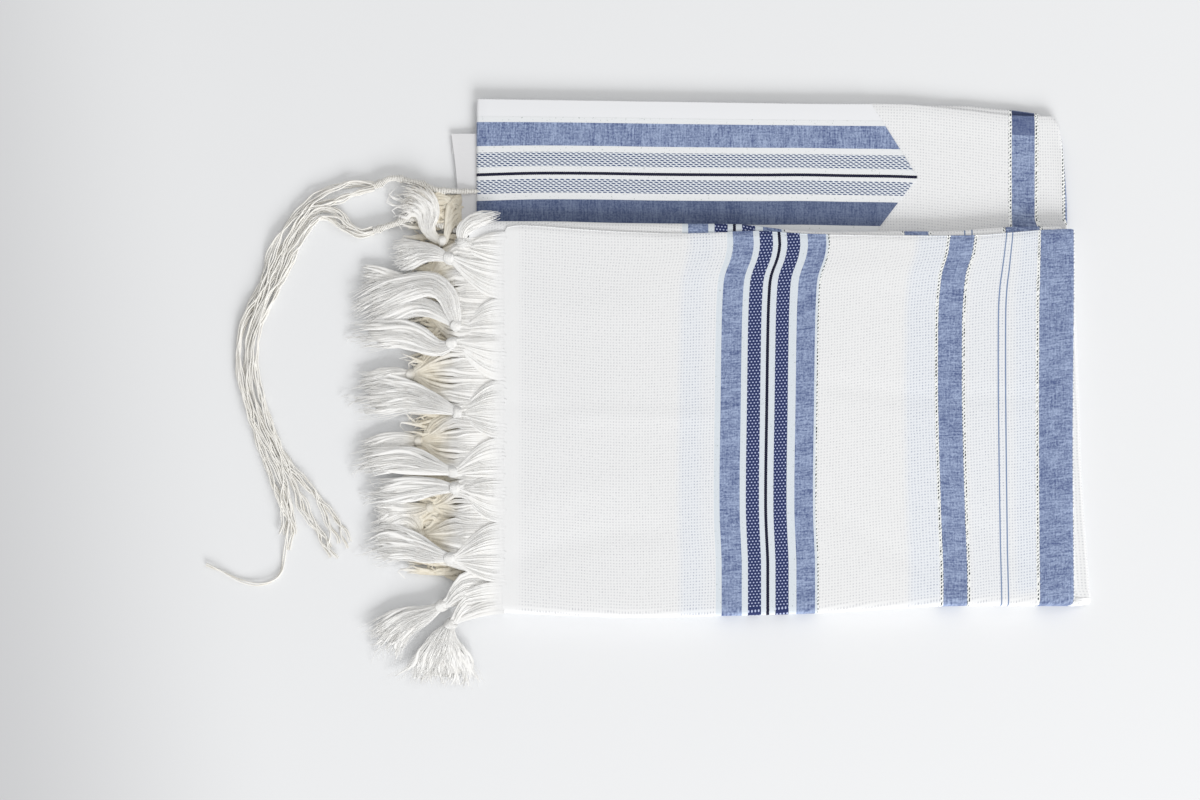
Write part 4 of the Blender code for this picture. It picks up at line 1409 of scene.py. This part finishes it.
@dataclass
class Fringe:
    """A row of knotted bunches of warp threads."""

    bunches: tuple[Bunch, ...]
    edge_x: Callable[[float], float]
    edge_level: float
    knot_radius: float
    seed: int
    finish: ThreadFinish
    gather: Pair = (0.14, 0.56)
    fall: Pair = (0.25, 0.70)
    swell: float = 0.0
    fan_sway: float = 0.0
    sway_pitch: float = 17.0
    under_level: float = 10.85
    under_x: float = -188.6
    fan_lock_pitch: float = 2.5
    fan_thread_pitch: float = 0.5
    fan_steps: int = 9
    tail_steps: int = 14
    tail_lock_pitch: float = 1.35
    tail_lock_half: float = 1.7
    tail_thread_pitch: float = 0.55
    least_locks: int = 11
    tiers: tuple[float, ...] = (0.60, 0.72, 0.65, 0.77)
    tip_threads: int = 2
    thread_radius: float = 0.20
    thread_taper: float = 0.3
    wraps: int = 15
    wrap_steps: int = 14
    loose_threads: int = 10
    long_tail: float = 45.0
    heap_pitch: float = 0.0
    heap_reach: Pair = (24.0, 50.0)
    heap_steps: int = 10

    def fan_route(self, y: float, share: float, level: float, start_x: float,
                  shore_x: float) -> list[Vector]:
        """Route of a lock or thread from the cloth's edge into the knot.

        Args:
            y: Where it leaves the edge.
            share: The same, from 0 to 1 over the bunch's stretch.
            level: Height at which it leaves the edge.
            start_x: Where it starts.
            shore_x: Where it leaves what it lies on.

        Returns:
            The points that it runs through.
        """
        lane = (2.0 * share - 1.0) * (1.0 if self.side.y >= 0 else -1.0)
        reach = self.side * (lane * self.knot_radius * 0.65)
        end = self.middle - self.axis * self.knot_radius * 0.8 + reach
        turn = FULL_TURN * y / self.sway_pitch
        sways = (self.fan_sway * math.sin(turn), self.fan_sway * math.cos(0.7 * turn))
        swell = self.swell * math.sin(math.pi * share)
        rows = [(start_x, y, level), (shore_x - 1.0, y, level)]
        for out, gather, fall, sway, aside_share in zip((0.35, 0.72), self.gather, self.fall, sways,
                                                        (1.0, -0.7)):
            rows.append((mix(shore_x, end.x, out), mix(y, end.y, gather) + aside_share * sway,
                         mix(level, end.z, fall) + swell + 0.25 * sway))
        rows += [(*end,), (*(self.middle + reach * 0.8),)]
        return curve_points(rows, self.fan_steps)[0]

    def fan(self) -> None:
        """Add the locks and threads that run together from the cloth's edge into the knot."""
        chance = self.chance
        shares = [step / self.fan_steps for step in range(self.fan_steps + 1)]
        heights = [mix(0.34, 0.9, share) for share in shares]
        stretches = [(self.bunch.fan, self.edge_level, None)]
        if self.bunch.under:
            stretches.append((self.bunch.under, self.under_level, self.under_x))
        for (low, high), level, start_x in stretches:
            count = max(2, round((high - low) / self.fan_lock_pitch))
            first_half = (high - low) / count * 0.85
            for i in range(count):
                y = mix(low, high, (i + 0.5) / count)
                shore_x = INNER_END_X if start_x else self.edge_x(y)
                drawn = not start_x and chance.random() < 0.4
                inland = chance.uniform(1.5, 3.5) if drawn else 1.4
                route = self.fan_route(y, (i + 0.5) / count, level, start_x or shore_x + inland, shore_x)
                halves = [mix(first_half, 1.0, smooth_step(0.2, 1.0, share)) for share in shares]
                for step, point in enumerate(route):
                    point.z += 0.25 * math.sin(i * 2.4) * smooth_step(2, self.fan_steps, step)
                if drawn:
                    route[0].z += 0.14
                    halves[0] *= 0.2
                self.locks.lock(route, halves, heights, y)
            for _ in range(round((high - low) / self.fan_thread_pitch)):
                share = chance.random()
                y = mix(low, high, share)
                shore_x = INNER_END_X if start_x else self.edge_x(y)
                share = min(1.0, max(0.0, share + chance.gauss(0.0, 0.12)))
                route = self.fan_route(y, share, level + 0.1, start_x or shore_x + 1.0, shore_x)
                lift = chance.uniform(0.2, 0.7)
                for step, point in enumerate(route):
                    point.z += lift * min(1.0, step / 4)
                self.threads.strand(route, self.thread_radius)

    def knot(self) -> None:
        """Add the knot: a full core, and threads that go once round it."""
        chance = self.chance
        radius = self.knot_radius
        shares = (-1.0, -0.7, -0.3, 0.1, 0.5, 0.85, 1.0)
        core = [self.middle + self.axis * (radius * 0.95 * share) for share in shares]
        full = [radius * 0.92 * math.sqrt(1.02 - share * share) for share in shares]
        self.locks.lock(core, full, [half * 0.78 for half in full])
        tilt = chance.uniform(-0.5, 0.5)
        slant = chance.uniform(0.25, 0.5) * chance.choice((-1, 1))
        for i in range(self.wraps):
            lane = 2.0 * (i + 0.5) / self.wraps - 1.0
            round_radius = radius * (0.74 + 0.30 * math.sqrt(1.0 - 0.9 * lane * lane))
            round_radius += chance.uniform(-0.15, 0.15)
            points = []
            for step in range(self.wrap_steps + 1):
                angle = FULL_TURN * step / self.wrap_steps + 0.5
                slip = lane * radius * 0.66 + slant * radius * math.sin(angle + tilt)
                point = self.middle + self.axis * slip
                point += self.side * (math.cos(angle) * round_radius)
                point.z = max(point.z + math.sin(angle) * round_radius * 0.78, 0.6)
                points.append(point)
            self.threads.strand(points, self.thread_radius * 1.7)

    def depth(self, half: float, share: float) -> float:
        """Half the height of a tail, from its half width and the share of its length."""
        return max(1.0, min(half * 0.6, self.knot_radius * 0.9)) * (1.1 - 0.45 * share)

    def tail_route(self, lane: float, length: float, bend: float, ripple: float, phase: float,
                   tier: float) -> list[Vector]:
        """Route of a lock or thread in a tail.

        Args:
            lane: Place across the tail at the knot, from -1 to 1.
            length: Share of the tail's length that it reaches.
            bend: How far it leaves its lane by its tip.
            ripple: How far it waves about its lane.
            phase: Where the wave starts.
            tier: Height in the tail, from -1 to 1.

        Returns:
            The points that it runs through.
        """
        spine = self.spine
        steps = self.tail_steps
        points = []
        for step in range(steps + 1):
            share = step / steps * length
            at = min(share, 0.9999) * steps
            before = int(at)
            point = spine[before].lerp(spine[before + 1], at - before)
            if share > 1.0:
                point += (spine[-1] - spine[-2]) * ((share - 1.0) * steps)
            half = mix(self.halves[before], self.halves[before + 1], at - before)
            offset = lane + bend * share * share
            offset += ripple * math.sin(phase + (6.0 + phase) * share) * min(1.0, share * 3.0)
            crown = math.sqrt(max(0.12, 1.0 - 0.75 * offset * offset))
            point = point + sideways(spine, before)[0] * (offset * half)
            point.z = max(point.z + self.depth(half, share) * crown * tier, 0.45)
            points.append(point)
        return points

    def tail(self, rows: Rows) -> None:
        """Add locks and loose threads beyond the knot, spreading towards their ends.

        Args:
            rows: The tail's x, y, z and half width at places along it.
        """
        chance = self.chance
        rows = [(*self.bunch.knot, self.knot_radius * 0.6), *rows]
        self.spine, values = curve_points(rows, self.tail_steps)
        self.halves = [half for (half,) in values]
        widest = max(self.halves)
        count = max(self.least_locks, round(2.0 * widest / self.tail_lock_pitch))
        stations = [(half, step / self.tail_steps) for step, half in enumerate(self.halves)]
        full = [half * (0.84 - 0.62 * smooth_step(0.58, 1.0, share)) for half, share in stations]
        high = [self.depth(half, share) * 0.6 * (1.0 - 0.7 * smooth_step(0.6, 1.0, share))
                for half, share in stations]
        core = [Vector((point.x, point.y, max(point.z, flat + 0.3)))
                for point, flat in zip(self.spine[:-2], high)]
        self.locks.lock(core, full, high)
        for i in range(count):
            lane = (2.0 * (i + 0.5) / count - 1.0) * 0.94
            tier = self.tiers[i % len(self.tiers)]
            bend = chance.gauss(0.0, 0.20)
            phase = chance.uniform(0.0, 6.0)
            ripple = chance.uniform(0.04, 0.16)
            length = chance.uniform(0.84, 1.0) - 0.10 * lane * lane
            narrow = chance.uniform(0.6, 1.1)
            wide = [min(self.tail_lock_half, max(0.7, half * 2.6 / count)) * narrow
                    * (1.0 - 0.80 * smooth_step(0.68, 1.0, share)) for half, share in stations]
            self.locks.lock(self.tail_route(lane, length, bend, ripple, phase, tier), wide,
                            [max(0.14, half * 0.42) for half in wide], 7.0 * i)
            for _ in range(self.tip_threads):
                route = self.tail_route(lane + chance.gauss(0.0, 0.03), length * chance.uniform(0.97, 1.07),
                                        bend + chance.gauss(0.0, 0.12), ripple,
                                        phase + chance.uniform(-0.5, 0.5),
                                        tier + chance.uniform(-0.1, 0.15))
                self.threads.strand(route, self.thread_radius, self.thread_taper)
        for _ in range(round(2.0 * widest / self.tail_thread_pitch)):
            route = self.tail_route(chance.uniform(-1.0, 1.0), chance.uniform(0.7, 1.02),
                                    chance.gauss(0.0, 0.16), chance.uniform(0.03, 0.12),
                                    chance.uniform(0.0, 6.0), chance.uniform(0.84, 1.02))
            self.threads.strand(route, self.thread_radius, self.thread_taper)

    def strays(self) -> None:
        """Add a few threads that have left the bunch, where its tail is long."""
        chance = self.chance
        before, tip = [Vector(row[:3]) for row in self.bunch.tail[-2:]]
        ahead = (tip - before).normalized()
        if (tip - self.middle).length < self.long_tail:
            return
        for _ in range(self.loose_threads):
            start = before.lerp(tip, chance.uniform(0.2, 0.9))
            heading = ahead + Vector((chance.uniform(-0.6, 0.6), chance.uniform(-0.8, 0.8), 0))
            end = start + heading.normalized() * chance.uniform(8.0, 15.0)
            middle = start.lerp(end, 0.5)
            middle += Vector((chance.uniform(-2, 2), chance.uniform(-2, 2), 1.0))
            end.z = 0.8
            points, _values = curve_points([(*start,), (*middle,), (*end,)], 6)
            self.threads.strand(points, self.thread_radius * 0.8)

    def heap(self) -> None:
        """Add tangled locks that lie low between the bunches, from under the cloth's edge."""
        chance = self.chance
        low, high = self.bunch.under or self.bunch.fan
        for i in range(round((high - low) / self.heap_pitch) if self.heap_pitch else 0):
            y = chance.uniform(low, high)
            x = self.edge_x(y) - 1.0
            reach = chance.uniform(*self.heap_reach)
            rows = [(x, y, 1.6)]
            for share in (0.25, 0.5, 0.75, 1.0):
                y = min(high + 2.0, max(low - 2.0, y + chance.gauss(0.0, 3.8)))
                rows.append((x - reach * share, y, chance.uniform(1.3, 4.2)))
            if i % 2:
                turned = chance.choice((-1, 1)) * chance.uniform(4.0, 8.0)
                rows.append((x - reach + chance.uniform(2.0, 6.0), y + turned, 2.4))
            half = chance.uniform(0.9, 1.8)
            halves = [half * (1.0 - 0.82 * smooth_step(0.55, 1.0, step / self.heap_steps))
                      for step in range(self.heap_steps + 1)]
            self.locks.lock(curve_points(rows, self.heap_steps)[0], halves,
                            [wide * 0.5 for wide in halves], 5.0 * i)

    def tie(self, bunch: Bunch, chance: random.Random) -> bpy.types.Object:
        """Tie one bunch.

        Args:
            bunch: What is tied.
            chance: Source of its random draws.

        Returns:
            Its mesh.
        """
        self.bunch: Bunch = bunch
        self.chance: random.Random = chance
        self.locks = LockBundle(bunch.name + "_threads")
        self.threads = StrandBundle(bunch.name + "_loose")
        self.middle = Vector(bunch.knot)
        out = (Vector(bunch.tail[0][:3]) - self.middle).normalized()
        edge_y = sum(bunch.fan) / 2
        edge = Vector((self.edge_x(edge_y), edge_y, self.middle.z))
        self.axis = (out + (self.middle - edge).normalized()).normalized()
        self.side = Vector((-self.axis.y, self.axis.x, 0.0)).normalized()
        self.fan()
        self.knot()
        self.tail(bunch.tail)
        if bunch.branch:
            self.tail(bunch.branch)
        self.strays()
        self.heap()
        return self.locks.build(self.threads)

    def build(self) -> list[bpy.types.Object]:
        """Tie every bunch."""
        material = self.finish.build()
        return [dress(self.tie(bunch, random.Random(self.seed + i)), material, "fringe", bunch.name)
                for i, bunch in enumerate(self.bunches)]


# Corner tassels: rows of x, y, z and half width, the long string's without the last

OUTER_HEAD = ((-206, 115.4, 3.6, 1.2), (-219, 115.4, 3.7, 1.3), (-228, 115.9, 3.2, 1.6),
              (-236, 116.2, 2.9, 1.7), (-241.5, 118.2, 2.9, 1.7), (-248.5, 121.1, 2.9, 1.8),
              (-256.2, 122.6, 2.9, 1.7), (-264.6, 124.6, 2.9, 1.8), (-270.4, 124.4, 3, 1.8),
              (-276, 121.2, 3, 1.9), (-281, 119.2, 2.9, 2))
INNER_HEAD = ((-208, 84.6, 2.2, 1.2), (-218.5, 86.2, 2.5, 1.4), (-225.5, 88.6, 2.8, 1.6),
              (-237.3, 92.6, 2.9, 1.7), (-244.6, 96, 2.9, 1.8), (-251.3, 96.8, 2.9, 1.7),
              (-259.7, 95.4, 2.9, 1.8), (-266, 92.8, 2.9, 1.8), (-272.3, 91, 3, 1.9),
              (-277, 89.2, 3, 1.9), (-281.4, 88, 2.9, 2))
OUTER_STRINGS = ((-281, 119.2, 2.4, 2.2), (-291, 118.6, 2.3, 4), (-305.9, 115, 2.2, 5.2),
                 (-321.3, 107.8, 2.2, 4.6), (-333.2, 98.2, 2.2, 3.8), (-344.4, 82.6, 2.2, 3.6),
                 (-352.8, 63, 2.2, 4.2), (-361.9, 42, 2.2, 4), (-370.3, 22.4, 2.2, 3.2),
                 (-373.1, -2.8, 2.2, 3), (-369.6, -28, 2.2, 3.2), (-359.8, -58.1, 2.2, 3.4),
                 (-351.4, -79.1, 2.2, 3.6), (-347.2, -95.9, 2, 4.2), (-342.3, -114.8, 1.8, 5.2),
                 (-340, -136, 1.4, 6.6))
INNER_STRINGS = ((-281.4, 88, 2.4, 2.2), (-290.5, 86.2, 2.3, 3), (-299.5, 91, 2.2, 4.6),
                 (-307, 97.6, 2.4, 5.2), (-316.5, 100.2, 2.8, 4.4), (-324.5, 96.4, 3, 3.8),
                 (-331, 88.6, 2.6, 3.8), (-338.2, 76.4, 2.4, 4.2), (-346, 58, 2.4, 4.4),
                 (-354.9, 37.8, 2.4, 3.8), (-362.6, 19.2, 2.6, 3), (-365.9, -2.8, 2.6, 2.8),
                 (-362.4, -26.8, 2.6, 3.2), (-352.6, -55.4, 2.4, 3.6), (-342.6, -77, 2.2, 4.2),
                 (-331, -95, 2, 6), (-315, -118, 1.6, 8), (-303, -140, 1.3, 10))
LONG_STRING = ((-344.4, -142, 1.1), (-346.2, -151.2, 1.1), (-352, -157.5, 1.1), (-362.6, -160.3, 1.1),
               (-375.2, -157.5, 1.1), (-389.2, -150.5, 1.1), (-399, -146.3, 1.1))


@dataclass
class CornerTassel:
    """Corner tassel: eight strings, wound and double-knotted at the head, then free."""

    name: str
    solid: str
    head: Rows
    strings: Rows
    seed: int
    long_end: Rows = ()
    long_overlap: int = 14
    string_count: int = 8
    head_ply: Triple = (4.2, 0.33, 0.40)
    loose_ply: Triple = (75.0, 0.80, 0.50)
    step: float = 1.5
    winding_radius: float = 0.52
    winding_pitch: float = 1.15
    double_knots: int = 5
    # Painted shade warms and darkens the strings where they lie lowest, on the table.
    finish: ThreadFinish = ThreadFinish("tassel string", (0.975, 0.96, 0.925, 1.0),
                                        (0.925, 0.90, 0.84, 1.0), (0.93, 0.90, 0.82, 1.0),
                                        painted_shade_below=(0.2, 1.4), root_from_x=(500.0, 501.0),
                                        tone_pitch=6.0, softness=2.2)

    def two_ply(self, route: Sequence[Vector], phase: float, ply: Triple) -> None:
        """Add two plies twisted round each other.

        Args:
            route: The line that they twist round.
            phase: Where the twist starts.
            ply: The twist's pitch, its reach from the route, and each ply's own radius.
        """
        pitch, reach, radius = ply
        length = 0.0
        plies: list[list[Vector]] = [[], []]
        for i, point in enumerate(route):
            if i:
                length += (point - route[i - 1]).length
            offset = aside(route, i, phase + FULL_TURN * length / pitch, reach)
            plies[0].append(point + offset)
            plies[1].append(point - offset)
        for points in plies:
            for point in points:
                point.z = max(point.z, radius)
            self.bundle.strand(points, radius)

    def wind_head(self) -> None:
        """Add the head's core, windings and double knots."""
        length = path_length(self.head)
        spine, values = curve_points(self.head, round(length))
        for i in range(4):
            route = [point + aside(spine, j, math.pi / 2 * i + j * 0.15, half * 0.45)
                     for j, (point, (half,)) in enumerate(zip(spine, values))]
            self.two_ply(route, self.chance.uniform(0, 6.0), self.head_ply)
        turns = length / self.winding_pitch
        steps = round(turns * 10)
        spine, values = curve_points(self.head, steps)
        winding = []
        for j, (point, (half,)) in enumerate(zip(spine, values)):
            share = j / steps
            knot = max(math.exp(-((share - (k + 0.7) / self.double_knots) / 0.022) ** 2)
                       for k in range(self.double_knots))
            angle = FULL_TURN * turns * share
            placed = point + aside(spine, j, angle,
                                   half * (1.0 + 0.45 * knot) + 0.12 * math.sin(angle * 0.37))
            placed.z = max(placed.z, 0.7)
            winding.append(placed)
        self.bundle.strand(winding, self.winding_radius)

    def free_strings(self) -> None:
        """Add the eight strings beyond the head, lying beside and over each other."""
        chance = self.chance
        count = round(path_length(self.strings) / self.step)
        spine, values = curve_points(self.strings, count)
        for i in range(self.string_count):
            turns = chance.uniform(1.0, 2.2) * chance.choice((-1, 1))
            phase = chance.uniform(0, FULL_TURN)
            own = chance.uniform(0.8, 1.3)
            last = round(count * chance.uniform(0.955, 1.0))
            is_long = bool(self.long_end) and i == 0
            route = []
            for j in range((count if is_long else last) + 1):
                share = j / count
                angle = FULL_TURN * i / self.string_count + FULL_TURN * turns * share
                sway = (0.22 * math.sin(phase + 9.0 * share) + 0.14 * math.sin(2.3 * phase + 23.0 * share)
                        + 0.14 * math.sin(3.7 * phase + 58.0 * share)
                        + 0.07 * math.sin(5.1 * phase + 130.0 * share))
                level, _ = sideways(spine, j)
                point = spine[j] + level * (values[j][0] * (own * math.cos(angle) + sway))
                point.z = max(0.85, spine[j].z + 1.15 * math.sin(angle))
                route.append(point)
            if is_long:
                rows = [(*route[-self.long_overlap],), *self.long_end]
                route = route[:-self.long_overlap] + curve_points(rows, 60)[0]
            self.two_ply(route, phase, self.loose_ply)

    def build(self) -> bpy.types.Object:
        """Tie the tassel."""
        self.chance = random.Random(self.seed)
        self.bundle = StrandBundle(self.name)
        self.wind_head()
        self.free_strings()
        return dress(self.bundle.build(), self.finish.build(), "tzitzit", self.solid)


# Studio


@dataclass
class Studio:
    """Table, light and camera."""

    table_side: float = 6.0
    table_z: float = -0.0004
    view_place: Triple = (-0.1225, -0.0308, 0.005)
    view_width: float = 0.840
    lens: float = 60.0
    sensor: float = 36.0
    key_place: Triple = (1.9, -4.6, 2.2)
    key_size: Pair = (3.7, 2.1)
    key_power: float = 290.0
    fill_place: Triple = (2.2, 1.5, 2.4)
    fill_size: Pair = (1.8, 1.8)
    fill_power: float = 22.0
    sky: Colour = (1.0, 0.995, 0.985, 1.0)
    sky_strength: float = 0.55

    def build_table(self) -> None:
        """Add the table."""
        bpy.ops.mesh.primitive_plane_add(size=self.table_side, location=(0, 0, self.table_z))
        table = bpy.context.object
        table.name = "table_top"
        bpy.ops.object.transform_apply(location=True, rotation=True, scale=True)
        table.data.materials.append(TableFinish().build())

    def add_light(self, name: str, place: Triple, size: Pair, power: float) -> None:
        """Add a soft oblong light that faces the middle of the table.

        Args:
            name: Its name.
            place: Where it stands, in metres.
            size: Its length and width, in metres.
            power: Its power, in watts.
        """
        bpy.ops.object.light_add(type="AREA", location=place)
        light = bpy.context.object
        light.name = name
        light.data.shape = "RECTANGLE"
        light.data.size, light.data.size_y = size
        light.data.energy = power
        light.rotation_euler = (-Vector(place)).to_track_quat("-Z", "Y").to_euler()

    def build_camera(self) -> None:
        """Add the camera, looking straight down."""
        data = bpy.data.cameras.new("view_from_above")
        data.lens = self.lens
        data.sensor_width = self.sensor
        camera = add_object(data.name, data)
        distance = self.view_width * self.lens / self.sensor
        camera.location = Vector(self.view_place) + Vector((0, 0, distance))
        bpy.context.scene.camera = camera

    def build(self) -> None:
        """Set the studio up: table, key light, fill light, even sky and camera."""
        self.build_table()
        self.add_light("key_light", self.key_place, self.key_size, self.key_power)
        self.add_light("fill_light", self.fill_place, self.fill_size, self.fill_power)
        world = bpy.data.worlds.new("sky")
        world.use_nodes = True
        background = world.node_tree.nodes["Background"]
        background.inputs["Color"].default_value = self.sky
        background.inputs["Strength"].default_value = self.sky_strength
        self.build_camera()
        bpy.context.scene.world = world
        bpy.context.scene.view_settings.view_transform = "Standard"


def main() -> None:
    Studio().build()
    cloth = ShawlCloth().build()
    band = NeckBand().build()
    patch = CornerPatch().build()
    # Fringe threads: painted shade warms and darkens those that lie lowest, on the table.
    finish = ThreadFinish("fringe thread", (0.985, 0.985, 0.975, 1.0), (0.955, 0.94, 0.91, 1.0),
                          (0.93, 0.905, 0.85, 1.0), painted_shade_below=(0.0, 0.6))
    # Threads of the lower layer: painted shade turns them tan where they lie low near the knots, under the
    # upper bunches.
    low_finish = ThreadFinish("fringe thread below", (0.985, 0.98, 0.965, 1.0),
                              (0.94, 0.925, 0.89, 1.0), (0.91, 0.86, 0.74, 1.0),
                              painted_shade_below=(4.5, 9.5), painted_shade_from_x=(-264.0, -246.0))
    upper = Fringe(UPPER_BUNCHES, lambda y: value_at(FRONT_LEFT_EDGE, y), edge_level=11.95,
                   knot_radius=4.0, seed=11, finish=finish, fall=(-0.05, 0.30), swell=0.5)
    lower = Fringe(LOWER_BUNCHES, lambda y: -221.0 if y > 90 else INNER_END_X, edge_level=2.1,
                   knot_radius=3.5, seed=41, finish=low_finish, gather=(0.03, 0.30),
                   fall=(0.45, 0.85), fan_sway=2.6, heap_pitch=0.52)
    threads = upper.build() + lower.build()
    outer = CornerTassel("tassel_outer", "tzitzit_outer", OUTER_HEAD, OUTER_STRINGS, 5,
                         LONG_STRING).build()
    inner = CornerTassel("tassel_inner", "tzitzit_inner", INNER_HEAD, INNER_STRINGS, 9).build()
    threads + [outer, inner]


if __name__ == "__main__":
    main()
